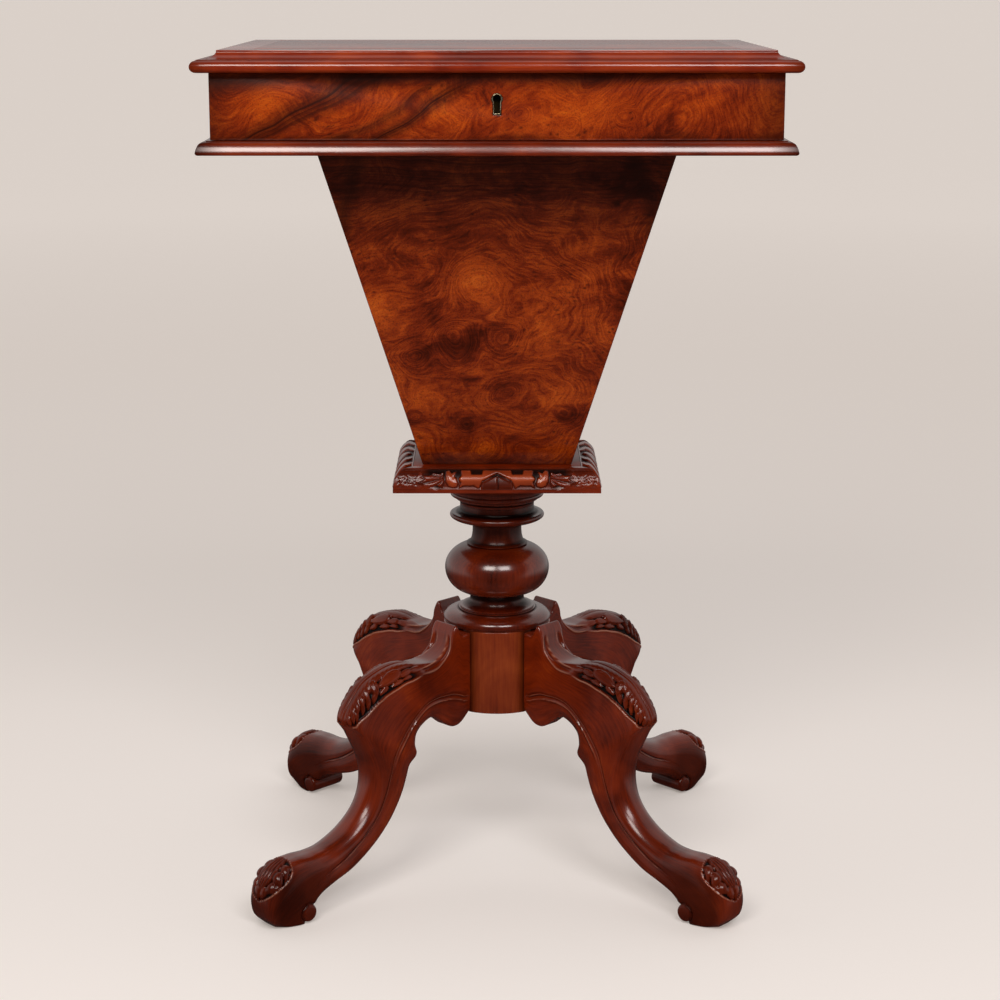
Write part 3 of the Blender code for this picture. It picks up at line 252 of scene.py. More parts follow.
frontStreaks = (
    {**heartStreak, "at": 0.683},
    {**heartStreak, "at": 0.648, "halfMm": 7, "depth": 0.7},
    {**heartStreak, "at": 0.637, "halfMm": 9},
    {**endDarkening, "at": 0.246, "halfMm": 75},
    {**endDarkening, "at": -0.242, "halfMm": 42},
    # painted shadow under the lid's overhang, and painted shade in the crease over the base moulding
    {**paintedEdgeShade, "at": 0.7235, "halfMm": 17, "depth": 0.9},
    {**paintedEdgeShade, "at": 0.668, "halfMm": 6, "depth": 0.5},
)
wellStreaks = (
    # painted shade on the well under the overhanging box, at its foot over the collar and at its mitred
    # corners
    {**paintedEdgeShade, "at": 0.676, "halfMm": 155, "depth": 0.95, "grain": 0.7},
    {**paintedEdgeShade, "at": 0.372, "halfMm": 20, "depth": 0.6},
    {**paintedMitreShade, "across": (-0.962, 0.0, -0.273)},
    {**paintedMitreShade, "across": (0.962, 0.0, -0.273)},
)
# x and z of a spot's middle, its radius in mm, how far growth lines curl round it, and its lightness
frontSpots = (
    (100, 690, 14, 0.25, 0.03), (62, 684, 12, 0.2, -0.06), (17, 688, 12, 0.2, -0.07),
    (70, 705, 8, 0.15, -0.05), (55, 692, 60, 0.1, 0.08), (-184, 699, 34, 0.1, 0.10),
    (-44, 688, 42, 0.1, 0.09), (-95, 700, 30, 0.05, 0.06), (-2, 706, 20, 0.0, -0.12),
    (150, 680, 80, 0.6, 0.0),
)
wellSpots = (
    (-20, 470, 260, 0.9, 0.0), (-35, 489, 28, 0.3, -0.05), (8, 495, 24, 0.25, -0.05),
    (6, 448, 22, 0.25, -0.07), (-73, 476, 22, 0.2, -0.02), (-27, 417, 12, 0.2, -0.06),
    (-74, 419, 16, 0.15, -0.09), (65, 425, 16, 0.15, -0.09), (121, 623, 44, 0.2, -0.14),
    (107, 580, 26, 0.15, -0.10), (-13, 547, 38, 0.2, 0.12), (-98, 521, 36, 0.1, 0.11),
    (-61, 436, 36, 0.1, 0.10), (-8, 391, 20, 0.15, 0.10), (40, 520, 70, 0.15, 0.06),
    (48, 440, 60, 0.15, 0.06),
)
wellBurr = {"turn": (0, math.radians(8), 0), "stops": wellStops, "streaks": wellStreaks}
polishStops = ((0.28, "#1e0500"), (0.42, "#4b1101"), (0.56, "#702002"), (0.74, "#9c3e0a"))
turnedStops = ((0.28, "#170300"), (0.42, "#3e0d01"), (0.56, "#601a02"), (0.74, "#8c360a"))
lidStops = ((0.28, "#3c0e03"), (0.44, "#751f06"), (0.56, "#8f300a"), (0.74, "#ab4712"))
blockStops = ((0.28, "#451607"), (0.44, "#6c250b"), (0.56, "#82340f"), (0.74, "#9a4a18"))
polishBase = {"coords": "Object", "fibreMm": 1.6, "cloudMm": 55, "fibreShare": 0.3, "stops": polishStops,
              "carved": True, "dirtColour": "#060201", "rubColour": "#c08a70", "polish": {}}
alongX, alongY, alongZ = (0.05, 1.0, 1.0), (1.0, 0.05, 1.0), (1.0, 1.0, 0.05)
lidEdge = {"stops": lidStops, "polish": {"Coat Roughness": 0.14, "Coat IOR": 1.55}}
baseEdge = {"polish": {"Coat Roughness": 0.17, "Coat IOR": 1.75}}
innerBase = {"fibreMm": 1.8, "stops": ((0.30, "#5c3314"), (0.50, "#86552a"), (0.70, "#a87440"))}

finishRows = (  # what makes it, the record's material slot, the looks
    (burrVeneer, "burr_walnut", burrBase, {
        "burrFront": ("burrWalnutBoxFront", {"streaks": frontStreaks, "spots": frontSpots}),
        "burrBox": ("burrWalnutBox", {"shift": (0.31, 0.12, 0.05)}),
        "burrLid": ("burrWalnutLid", {"shift": (0.7, 0.2, 0.4), "cloudMm": 45,
                                      "polish": {"Coat Weight": 0.8, "Coat Roughness": 0.14}}),
        "burrWell": ("burrWalnutWell", {**wellBurr, "shift": (0.13, 0.55, 0.21)}),
        "burrWellFace": ("burrWalnutWellFace", {**wellBurr, "spots": wellSpots}),
    }),
    (polishedWalnut, "polished_walnut", polishBase, {
        "lidX": ("walnutLidEdgeAcross", {**lidEdge, "stretch": alongX}),
        "lidY": ("walnutLidEdgeDeep", {**lidEdge, "stretch": alongY}),
        "baseX": ("walnutMouldingAcross", {**baseEdge, "stretch": alongX}),
        "baseY": ("walnutMouldingDeep", {**baseEdge, "stretch": alongY}),
        "turned": ("walnutTurned", {"stretch": alongZ, "stops": turnedStops, "polish": {"Coat IOR": 1.7}}),
        "board": ("walnutCollarBoard", {"stretch": alongX, "carved": False, "polish": {"Coat Weight": 0.35}}),
        "block": ("walnutBlock", {"stretch": alongZ, "stops": blockStops}),
        "collarX": ("walnutCarvedAcross", {"stretch": alongX, "rubColour": "#a8481c"}),
        "collarY": ("walnutCarvedDeep", {"stretch": alongY, "rubColour": "#7a3418",
                                         "polish": {"Coat IOR": 1.38}}),
        "leg": ("walnutCarvedLeg", {"coords": "UV", "stretch": (0.025, 0.2, 1.0)}),
    }),
    (innerWood, "inner_wood", innerBase, {
        "innerX": ("innerWoodAcross", {"stretch": alongX}),
        "innerY": ("innerWoodDeep", {"stretch": alongY}),
    }),
    (wornMetal, "brass", {"scratchMm": 0.5}, {
        "brass": ("oldBrass", {"cloudMm": 9, "rough": (0.22, 0.45),
                               "stops": ((0.30, "#5f4521"), (0.50, "#a5803c"), (0.72, "#c9a75c"))}),
        "rim": ("rubbedBrassRim", {"cloudMm": 6, "rough": (0.2, 0.35),
                                   "stops": ((0.30, "#8f7d5c"), (0.55, "#cdbf9f"), (0.75, "#e6dcc6"))}),
        # the lock case is near black, as painted shade seen through the keyhole
        "lock": ("darkLockBrass", {"cloudMm": 8, "rough": (0.4, 0.6),
                                   "stops": ((0.30, "#0d0a06"), (0.50, "#1e170c"), (0.72, "#31270f"))}),
    }),
    (wornMetal, "steel", {"scratchMm": 0.5}, {
        "steel": ("filedSteel", {"cloudMm": 7, "rough": (0.3, 0.5),
                                 "stops": ((0.30, "#45413d"), (0.55, "#726d67"), (0.75, "#8d8983"))}),
    }),
)
finishes = {}
for finishMaker, slotName, finishBase, looks in finishRows:
    for finishKey, (finishName, ownLook) in looks.items():
        finishes[finishKey] = finishMaker(finishName, {**finishBase, **ownLook}), slotName
print("finishes:", len(finishes))


def camelName(node):
    words = node.split("_")
    return words[0] + "".join(word.capitalize() for word in words[1:])


def makePiece(node, mesh, finish, smoothDegrees, body="table", replaced=True):
    material, slotName = finishes[finish]
    mesh.materials.clear()
    mesh.materials.append(material)
    mesh.shade_smooth()
    mesh.set_sharp_from_angle(angle=math.radians(smoothDegrees))
    piece = bpy.data.objects.new(camelName(node), mesh)
    bpy.context.scene.collection.objects.link(piece)
    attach(piece, body)
    if replaced:
        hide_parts(node)


def closeMesh(node, bm, merge=1e-6):
    bmesh.ops.remove_doubles(bm, verts=bm.verts[:], dist=merge)
    bmesh.ops.recalc_face_normals(bm, faces=bm.faces[:])
    mesh = bpy.data.meshes.new(camelName(node))
    bm.to_mesh(mesh)
    bm.free()
    return mesh


sideTurns = {"front": 0, "right": 90, "back": 180, "left": -90}  # a length made for the front goes round


def sideRun(node):
    # a moulding's long axis, half its run, its reach from the middle, its lower and upper level
    low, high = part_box(node)
    axis = 0 if node.endswith(("front", "back")) else 1
    return axis, high[axis], max(abs(low[1 - axis]), abs(high[1 - axis])), low[2], high[2]


def dullEnds(bm, axis, halfRun, shape):
    # painted shade towards the mitres, which also dulls the gloss there, with a cut near each end that keeps
    # it from the run between
    dirt = bm.verts.layers.float["recess"]
    start = halfRun - shape["dullEnd"]
    across = Vector((1 - axis, axis, 0))
    for end in (-start, start):
        bmesh.ops.bisect_plane(bm, geom=bm.verts[:] + bm.edges[:] + bm.faces[:], dist=1e-6,
                               plane_co=across * end, plane_no=across)
    for vert in bm.verts:
        vert[dirt] = max(vert[dirt], shape["dull"] * (abs(vert.co[axis]) - start) / shape["dullEnd"])


# Boards, panels and fittings keep their true shape and get softened edges
softEdge = {"merge": 2e-5, "flatDegrees": 0.5, "sharpDegrees": 35, "smoothDegrees": 40}
lidCove = {"low": 0.0104, "inset": 0.0061, "run": 0.0175, "wideRun": 0.0197, "lip": 0.0028, "thinLip": 0.0018,
           "slack": 0.001, "underDirt": 0.6, "underReach": 0.003, "seamDirt": 0.5, "seamReach": 0.0012,
           "dullEnd": 0.020, "dull": 0.6}
# a leg's angle from the long axis, degrees of the block under half of it, and the painted shade beside it
legJoint = {"angle": 43.0, "cover": 17.0, "fade": 9.0, "dirt": 0.8, "radius": 0.045}


def widenCove(bm, node, cove):
    # the cove of a lid moulding reaches further in and leaves a thinner lip
    axis, halfRun, edge, low, high = sideRun(node)
    for vert in bm.verts:
        level = vert.co.z - low
        inset = edge - abs(vert.co[1 - axis])
        if level < cove["low"] or inset < cove["inset"] or inset > cove["run"] + cove["slack"]:
            continue
        share = (inset - cove["inset"]) / (cove["run"] - cove["inset"])
        shift = share * (cove["wideRun"] - cove["run"])
        for k in (0, 1):
            vert.co[k] -= math.copysign(shift, vert.co[k])
        if level < high - low - cove["slack"]:
            rise = (level - cove["low"]) / (high - low - cove["lip"] - cove["low"])
            vert.co.z += rise * (cove["lip"] - cove["thinLip"])


def shadeLid(bm, node, cove):
    # painted shade under the nose of a lid moulding, where the nose meets the cove and at both ends
    axis, halfRun, edge, low, high = sideRun(node)
    dirt = bm.verts.layers.float.new("recess")
    dullEnds(bm, axis, halfRun, cove)
    for vert in bm.verts:
        level = vert.co.z - low
        under = cove["underDirt"] * (1 - level / cove["underReach"])
        seam = cove["seamDirt"] * (1 - abs(level - cove["low"]) / cove["seamReach"])
        vert[dirt] = max(vert[dirt], under, seam)


def shadeBlock(bm, joint):
    # painted shade on the round block beside the four legs
    dirt = bm.verts.layers.float.new("recess")
    for vert in bm.verts:
        angle = math.degrees(math.atan2(abs(vert.co.y), abs(vert.co.x)))
        away = abs(angle - joint["angle"]) - joint["cover"]
        if math.hypot(*vert.co.xy) > joint["radius"]:
            vert[dirt] = joint["dirt"] * max(0.0, min(1.0, 1 - away / joint["fade"]))


def soften(node, finish, body, edgeMm, shape):
    bm = bmesh.new()
    bm.from_mesh(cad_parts[node].data)
    bmesh.ops.remove_doubles(bm, verts=bm.verts[:], dist=shape["merge"])
    onLid = node.startswith("lid_moulding")
    if onLid:
        widenCove(bm, node, lidCove)
    bmesh.ops.dissolve_limit(bm, angle_limit=math.radians(shape["flatDegrees"]), verts=bm.verts[:],
                             edges=bm.edges[:])
    limit = math.radians(shape["sharpDegrees"])
    sharp = [edge for edge in bm.edges if edge.is_manifold and edge.calc_face_angle(0.0) > limit]
    bmesh.ops.bevel(bm, geom=sharp, offset=edgeMm / 1000, offset_type="OFFSET", affect="EDGES", segments=2,
                    profile=0.5, material=-1, clamp_overlap=True)
    if onLid:
        shadeLid(bm, node, lidCove)
    if node == "leg_block":
        shadeBlock(bm, legJoint)
    makePiece(node, closeMesh(node, bm), finish, shape["smoothDegrees"], body)


softBoards = {
    "lid": (
        ("lid_panel", ("",), "burrLid", 0.3),
        ("lid_moulding", ("_front", "_back"), "lidX", 0.3),
        ("lid_moulding", ("_left", "_right"), "lidY", 0.3),
        ("lid_inner_panel", ("",), "innerX", 0.4),
        ("hinge_leaf_lid", ("_left", "_right"), "brass", 0.15),
        ("lock_link_plate", ("",), "brass", 0.15),
    ),
    "lock_bolt": (("lock_bolt", ("",), "steel", 0.2),),
    "table": (
        ("box", ("_front",), "burrFront", 0.5),
        ("box", ("_back", "_left", "_right"), "burrBox", 0.5),
        ("floor_board", ("_front", "_back"), "innerX", 0.4),
        ("well_wall", ("_front", "_back"), "innerX", 0.4),
        ("floor_board", ("_left", "_right"), "innerY", 0.4),
        ("well_wall", ("_left", "_right"), "innerY", 0.4),
        ("divider", ("_left_1", "_left_2", "_right_1", "_right_2"), "innerX", 0.5),
        ("well_panel", ("_front", "_back"), "burrWellFace", 0.25),
        ("well_panel", ("_left", "_right"), "burrWell", 0.25),
        ("well_floor", ("",), "innerX", 0.4),
        ("hinge_leaf_box", ("_left", "_right"), "brass", 0.15),
        ("hinge_pin", ("_left", "_right"), "brass", 0.15),
        ("lock_case", ("",), "lock", 0.2),
        ("keyhole_escutcheon", ("",), "rim", 0.25),
        ("collar_board", ("",), "board", 0.3),
        ("leg_block", ("",), "block", 0.4),
    ),
}
for boardBody, boardRows in softBoards.items():
    for stem, endings, finishKey, easeMm in boardRows:
        for ending in endings:
            soften(stem + ending, finishKey, boardBody, easeMm, softEdge)
print("boards, panels and fittings softened")


# Base mouldings and turned pieces follow finer profiles, at the levels of their nodes
def arc(centre, radii, start, end, steps=12):
    angles = [math.radians(start + (end - start) * i / steps) for i in range(steps + 1)]
    return [(centre[0] + radii[0] * math.cos(a), centre[1] + radii[1] * math.sin(a)) for a in angles]


def bend(start, control, end, steps=12):
    points = []
    for i in range(steps + 1):
        t = i / steps
        first, second, third = (1 - t) ** 2, 2 * t * (1 - t), t * t
        points.append(tuple(first * start[k] + second * control[k] + third * end[k] for k in (0, 1)))
    return points


# how far painted shade reaches into a profile's hollows
hollowShade = {"reach": 0.0025, "full": 0.0006, "least": 0.12, "most": 0.95}


def profileShade(profile, look):
    # painted shade where a profile is hollow within this reach
    points = np.array(profile)
    along = np.concatenate([[0.0], np.cumsum(np.hypot(*np.diff(points, axis=0).T))])
    before, after = (np.stack([np.interp(along + step, along, points[:, k]) for k in (0, 1)], 1)
                     for step in (-look["reach"], look["reach"]))
    inward = (before + after) / 2 - points
    tangent = after - before
    length = np.maximum(np.hypot(*tangent.T), 1e-9)
    hollow = (inward[:, 0] * -tangent[:, 1] + inward[:, 1] * tangent[:, 0]) / length
    return np.clip(hollow / look["full"] - look["least"], 0, look["most"])


# places on the profile: out from the moulding's front, up from its foot
baseShape = {"frame": -0.034, "under": (-0.0024, 0.0020), "bulge": (-0.0005, 0.0051),
             "front": (-0.0022, 0.0081), "corner": (-0.0036, 0.0106), "roll": (-0.0075, 0.0106),
             "fillet": 0.0008, "height": 0.0114, "dullEnd": 0.024, "dull": 0.75, "smoothDegrees": 30}


def makeBase(shape):
    # mitred lengths: a wide rounded front under a narrow fillet
    under, front, roll = shape["under"], shape["front"], shape["roll"]
    step = roll[0] - shape["fillet"]
    profile = [(shape["frame"], 0.0)] + arc(under, (-under[0], under[1]), -90, 0, 8)
    profile += bend((0.0, under[1]), shape["bulge"], front, 10)[1:]
    profile += bend(front, shape["corner"], roll, 10)[1:]
    profile += [(step, roll[1]), (step, shape["height"]), (shape["frame"], shape["height"])]
    # painted shade in the profile's creases, and towards the mitred ends
    creases = profileShade(profile[::-1], hollowShade)[::-1]
    for side, turn in sideTurns.items():
        node = "base_moulding_" + side
        axis, halfRun, reach, low, high = sideRun(node)
        bm = bmesh.new()
        dirt = bm.verts.layers.float.new("recess")
        for end in (-1, 1):
            loop = [bm.verts.new((end * (halfRun + out), -reach - out, low + up)) for out, up in profile]
            for vert, share in zip(loop, creases):
                vert[dirt] = share
            for pair in zip(loop, loop[1:] + loop[:1]):
                bm.edges.new(pair)
        bmesh.ops.bridge_loops(bm, edges=bm.edges[:])
        bmesh.ops.holes_fill(bm, edges=[edge for edge in bm.edges if edge.is_boundary], sides=0)
        dullEnds(bm, 0, halfRun, shape)
        bmesh.ops.rotate(bm, verts=bm.verts[:], matrix=Matrix.Rotation(math.radians(turn), 3, "Z"))
        makePiece(node, closeMesh(node, bm), "baseY" if axis else "baseX", shape["smoothDegrees"])


makeBase(baseShape)
print("base mouldings run")


turnedShape = {"steps": 128, "merge": 1e-5, "smoothDegrees": 32, "bore": 0.0153, "tenon": 0.015,
               "gap": 0.0003, "capTop": 0.052, "capBead": 0.0423, "bead": 0.0029, "step": 0.0102,
               "end": 0.0335, "fillet": 0.0024, "flangeDrop": 0.0017, "flange": 0.0427, "flangeNose": 0.0022,
               "flangeHeight": 0.0120, "neck": 0.0221, "neckHeight": 0.0200, "waist": 0.0150, "ridge": 0.0272,
               "ridgeHeight": 0.0012, "bulb": 0.0474, "shoulder": 0.0219, "belly": 0.0231, "lowNeck": 0.0245,
               "lowStraight": 0.0040, "ring": 0.0488, "ringFillet": 0.0014, "ringNose": 0.0038}


def spinPiece(node, profile, closed, shape, shade=((0, 0),)):
    # shade: heights and the least painted shade there
    bm = bmesh.new()
    dirt = bm.verts.layers.float.new("recess")
    verts = [bm.verts.new((radius, 0, height)) for radius, height in profile]
    for vert, share in zip(verts, profileShade(profile, hollowShade)):
        vert[dirt] = max(share, np.interp(vert.co.z, *zip(*shade)))
    pairs = zip(verts, verts[1:] + verts[:1] if closed else verts[1:])
    edges = [bm.edges.new(pair) for pair in pairs]
    bmesh.ops.spin(bm, geom=verts + edges, axis=(0, 0, 1), cent=(0, 0, 0), steps=shape["steps"],
                   angle=2 * math.pi, use_merge=True, use_duplicate=False)
    makePiece(node, closeMesh(node, bm, shape["merge"]), "turned", shape["smoothDegrees"])


def makeColumn(shape):
    capLow, capHigh = (corner[2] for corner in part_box("column_cap"))
    ringLow, ringHigh = (corner[2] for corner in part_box("column_base_ring"))
    postLow, postHigh = (corner[2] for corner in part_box("column_baluster"))
    bore, tenon, bead, end, fillet = (shape[key] for key in ("bore", "tenon", "bead", "end", "ringFillet"))

    # cap: a bead, a cove, a second bead and an ogee down to the flange
    capTop, capBead = shape["capTop"] - bead / 2, shape["capBead"]
    step = capLow + shape["step"]
    start = (end + bead, capLow + 1.6 * bead)
    ledge = end + 1.3 * bead
    cap = [(bore, capHigh)] + arc((capTop, capHigh - bead / 2), (bead / 2, bead / 2), 90, -90, 8)
    cap += bend((capTop, capHigh - bead), (capBead, capHigh - 2 * bead), (capBead, step + bead / 2))
    cap += arc((capBead - bead / 2, step - bead / 4), (bead / 2, bead * 0.75), 90, -90, 8)
    cap += bend((end + 1.5 * bead, step - bead), (ledge, start[1] + bead / 2), (ledge, start[1]), 6)
    cap += bend(start, (end, capLow + bead), (end, capLow)) + [(bore, capLow)]
    spinPiece("column_cap", cap, True, shape)

    # baluster: flange, neck, ridge, bulb and low neck between two tenons
    head, foot = capLow - shape["gap"], ringHigh + shape["gap"]
    flange, neck, ridge, bulb = (shape[key] for key in ("flange", "neck", "ridge", "bulb"))
    nose, thin, shoulder, belly = (shape[key] for key in ("flangeNose", "ridgeHeight", "shoulder", "belly"))
    lowNeck = shape["lowNeck"]
    flangeTop = head - shape["fillet"] - shape["flangeDrop"]
    flangeLow = flangeTop - shape["flangeHeight"]
    middle = (flangeTop + flangeLow) / 2
    ridgeTop = flangeLow - shape["neckHeight"]
    bulbTop = ridgeTop - thin
    bulbMiddle = bulbTop - shoulder
    waist = (neck, ridgeTop + shape["waist"])
    root = (neck + shape["fillet"], flangeLow)
    post = [(0, postHigh), (tenon, postHigh), (tenon, head), (end, head), (end, flangeTop)]
    post += bend((end, flangeTop), (end, middle + nose), (flange - 1.5 * nose, middle + nose))[1:]
    post += arc((flange - nose, middle), (nose, nose), 90, 0, 8)
    post += arc((root[0], middle), (flange - root[0], middle - flangeLow), 0, -84, 20)[1:]
    post += bend(root, (neck, flangeLow), waist) + bend(waist, (neck, ridgeTop), (ridge, ridgeTop), 6)[1:]
    post += arc((ridge, ridgeTop - thin / 3), (bead / 6, thin / 3), 90, -90, 6)
    post += arc((neck, bulbMiddle), (bulb - neck, shoulder), 84, 0, 24)
    post += arc((lowNeck, bulbMiddle), (bulb - lowNeck, belly), 0, -86, 24)[1:]
    start = (lowNeck, bulbMiddle - belly - shape["lowStraight"])
    post += bend(start, (lowNeck, foot + fillet), (end, foot + fillet))
    post += [(end, foot), (tenon, foot), (tenon, postLow), (0, postLow)]
    shade = ((bulbMiddle + shoulder / 4, 0), (bulbTop, 0.35), (ridgeTop, 0.6), (flangeLow, 0.6),
             (middle, 0.2), (head, 0.2))  # painted shade, darker from the bulb's shoulder up to the flange
    spinPiece("column_baluster", post, False, shape, shade)

    # base ring: a fillet over a round nose
    ledge, shelf = end + fillet, ringHigh - fillet
    nose, edge, heel = ringLow + shape["ringNose"], shape["ring"], ringLow + fillet
    ring = [(bore, ringHigh), (ledge, ringHigh), (ledge, shelf)]
    ring += arc((ledge, nose), (edge - ledge, shelf - nose), 80, 0, 18)
    ring += bend((edge, nose), (edge, heel), (edge - fillet, heel), 6)[1:]
    ring += [(edge - fillet, ringLow), (bore, ringLow)]
    spinPiece("column_base_ring", ring, True, shape)


makeColumn(turnedShape)
print("column turned")


# Carving is a height in millimetres over a smooth surface, read at (run, across), with painted shade and wear
# with painted highlight
def ease(value, low, high):
    share = np.clip((value - low) / (high - low), 0.0, 1.0)
    return share * share * (3 - 2 * share)


def hump(value, centre, width):
    return np.exp(-((value - centre) / width) ** 2)


def arch(share):
    return np.sin(math.pi * np.clip(share, 0, 1))


def lobeAxes(run, across, spec):
    # distances along a lobe and beside it, from its centre
    turn = math.radians(spec[4])
    ahead, beside = run - spec[0], across - spec[1]
    return ahead * math.cos(turn) + beside * math.sin(turn), beside * math.cos(turn) - ahead * math.sin(turn)


def lobe(run, across, spec, pointed):
    # centre, half length, half width, lean in degrees, height: a seed, or a leaflet with a pointed tip
    halfLength, halfWidth, lean, height = spec[2:]
    along, side = lobeAxes(run, across, spec)
    share = np.clip(along / halfLength, -1, 1)
    if pointed:
        width = halfWidth * (1 + share) ** 0.45 * (1 - share) ** 0.75
        inner = np.clip(1 - np.abs(side) / np.maximum(width, 1e-3), 0, 1)
        swell = (0.8 * ease(inner, 0.0, 0.4) + 0.2 * inner) * (1 - 0.12 * share)
        return height * swell - 0.3 * ease(inner, 0.2, 0.6) * hump(side, 0, 0.4)
    width = halfWidth * (1 - 0.45 * share)
    return height * np.clip(1 - (along / halfLength) ** 2 - (side / width) ** 2, 0, None) ** 0.55


def lobes(run, across, specs, pointed=True):
    return np.max([lobe(run, across, spec, pointed) for spec in specs], axis=0)


def gridPiece(node, points, recess):
    # a bmesh grid wrapped into a closed tube: rows along it, columns round it
    rows, columns = points.shape[:2]
    bm = bmesh.new()
    bm.loops.layers.uv.new("run")
    dirt = bm.verts.layers.float.new("recess")
    bmesh.ops.create_grid(bm, x_segments=rows - 1, y_segments=columns, size=0.5, calc_uvs=True)
    for vert in bm.verts:
        i = round((vert.co.x + 0.5) * (rows - 1))
        j = round((vert.co.y + 0.5) * columns) % columns
        vert.co = points[i, j]
        vert[dirt] = recess[i, j]
    bmesh.ops.remove_doubles(bm, verts=bm.verts[:], dist=1e-6)
    bmesh.ops.holes_fill(bm, edges=[edge for edge in bm.edges if edge.is_boundary], sides=0)
    return closeMesh(node, bm)


def insideDepth(x, v, outline):
    # millimetres inside a closed outline, negative outside it
    best = np.full(x.shape, 1e9)
    inside = np.zeros(x.shape, bool)
    for (ax, ay), (bx, by) in zip(outline, outline[1:] + outline[:1]):
        share = ((x - ax) * (bx - ax) + (v - ay) * (by - ay)) / ((bx - ax) ** 2 + (by - ay) ** 2)
        share = np.clip(share, 0, 1)
        best = np.minimum(best, np.hypot(x - ax - share * (bx - ax), v - ay - share * (by - ay)))
        if ay != by:
            inside ^= ((ay > v) != (by > v)) & (x < (bx - ax) * (v - ay) / (by - ay) + ax)
    return np.where(inside, best, -best)


# Carved collar: four mitred mouldings. Outlines in mm from the middle and up from the lower edge, right half
collarShape = {
    "frame": 0.017, "height": 0.0205, "fillet": 0.003, "run": 0.0105, "power": 1.65, "gap": 0.0003,
    "pitch": 0.0006, "faceSteps": 44, "topSteps": 12, "smoothDegrees": 60, "leastDirt": 0.08,
    "seed": 7, "cuts": 46, "cutsFrom": 62.0, "cutsEnd": 5.0, "fine": (58, 66), "crest": 12.6,
    "fan": (44.5, 13.0), "fanFlutes": 15.0, "sideLeaves": 3, "sideStart": 9.0, "sidePitch": 25.0,
    "gable": [(-13, 0.4), (13.6, 0.4), (12.0, 9.6), (0, 15.4), (-12, 9.6)],
    "strap": [(-3, 16.9), (0, 16.9), (12.6, 10.8), (14.0, 8.0), (15.9, 4.0), (20.4, 6.8), (25.4, 6.4),
              (29.2, 6.6), (33.6, 4.2), (31.6, 9.4), (33.6, 12.4), (31.2, 15.2), (31.6, 19.4), (23.0, 19.4),
              (22.2, 16.2), (13.4, 16.2), (12.4, 19.4), (-3, 19.4)],
    "lobe": [(35.4, 18.8), (37.0, 14.2), (35.4, 12.6), (34.0, 9.2), (35.0, 5.8), (38.6, 4.8), (42.4, 6.2),
             (44.6, 9.8), (45.2, 14.6), (44.8, 18.8), (41.6, 19.4), (39.4, 17.0)],
    "leaf": [(46.8, 18.0), (51.0, 16.4), (55.6, 17.4), (59.0, 15.2), (64.5, 15.0), (63.2, 11.8), (68.5, 8.8),
             (64.6, 7.2), (64.0, 2.8), (58.8, 5.4), (53.0, 6.6), (47.6, 4.8), (46.2, 11.0)],
    "sideLeaf": ((0.0, 8.0, 12.5, 5.2, 22, 1.9), (10.0, 16.0, 13.0, 5.6, 28, 2.0),
                 (19.0, 22.5, 8.5, 4.0, 24, 1.7)),
}


def scatterLeaves(shape, low, high, count):
    # small leaf cuts of many directions between two distances from the middle
    chance = np.random.default_rng(shape["seed"])
    limits = ((low, high), (5.0, 15.5), (2.0, 3.6), (0.8, 1.3), (-60, 60), (0.4, 0.9))  # as a lobe's numbers
    return list(zip(*[chance.uniform(least, most, count) for least, most in limits]))


def carveCollar(x, v, shape, end):
    # a gable in the middle, a strap over it, a bowl and a fluted leaf each side, then fine leaf cuts
    far = np.abs(x)
    gable, strap, bowl, leaf = (insideDepth(far, v, shape[key]) for key in ("gable", "strap", "lobe", "leaf"))
    inGable = ease(gable, 0.0, 0.8)
    cuts = scatterLeaves(shape, shape["cutsFrom"], end - shape["cutsEnd"], shape["cuts"])
    fan = np.arctan2(v - shape["fan"][1], far - shape["fan"][0])
    flutes = 0.45 * np.cos(fan * shape["fanFlutes"])
    raised = np.max([1.5 * ease(strap, -0.1, 0.7) + 0.6 * hump(v, shape["crest"], 3.2) * ease(strap, 0, 1.5),
                     1.5 * ease(bowl, -0.1, 0.6) + 0.8 * ease(bowl, 0.3, 4.5),
                     1.4 * ease(leaf, -0.1, 0.7) + flutes * ease(leaf, 0.2, 1.2),
                     lobes(far, v, cuts) * ease(far, 60, 66)], axis=0)
    low = 2.5 * ease(far, 50, 60)
    zone = ease(v, 0.6 + low, 6.5 + low) * (1 - ease(v, 19.6, 21.5)) * (1 - inGable)
    zone = zone * (1 - ease(far, end - shape["cutsEnd"], end - shape["cutsEnd"] / 2))
    fine = ease(far, *shape["fine"])
    height = zone * (raised - 1.3 + 0.85 * fine) - 1.7 * inGable + 0.6 * inGable * hump(x, 0, 0.5)
    height = height + 0.8 * hump(gable, -0.5, 0.5) * (v > 4)
    # painted shade in the sunk ground, along the outlines and in the gable, deeper near the top and the ends;
    # a pale line of wear and painted highlight along the straps' crest
    lines = np.max([hump(depth, -0.3, 0.45) for depth in (strap, bowl, leaf)], axis=0)
    sunk = 0.35 + 0.6 * np.maximum(ease(v, 11, 15), ease(far, 44, 52))
    ground = zone * np.clip(1 - raised / 0.8, 0, 1) * sunk * (1 - 0.45 * fine)
    dark = np.max([ground, 0.9 * lines * zone, (0.45 + 0.5 * hump(x, 1.1, 0.5)) * inGable,
                   0.6 * zone * (flutes < -0.2) * (leaf > 0.3)], axis=0)
    paleRubAndHighlight = zone * np.clip(raised - 1.2, 0, 1) * (0.5 + 0.9 * hump(v, shape["crest"], 1.2)) * (far < 46)
    return height, dark, paleRubAndHighlight


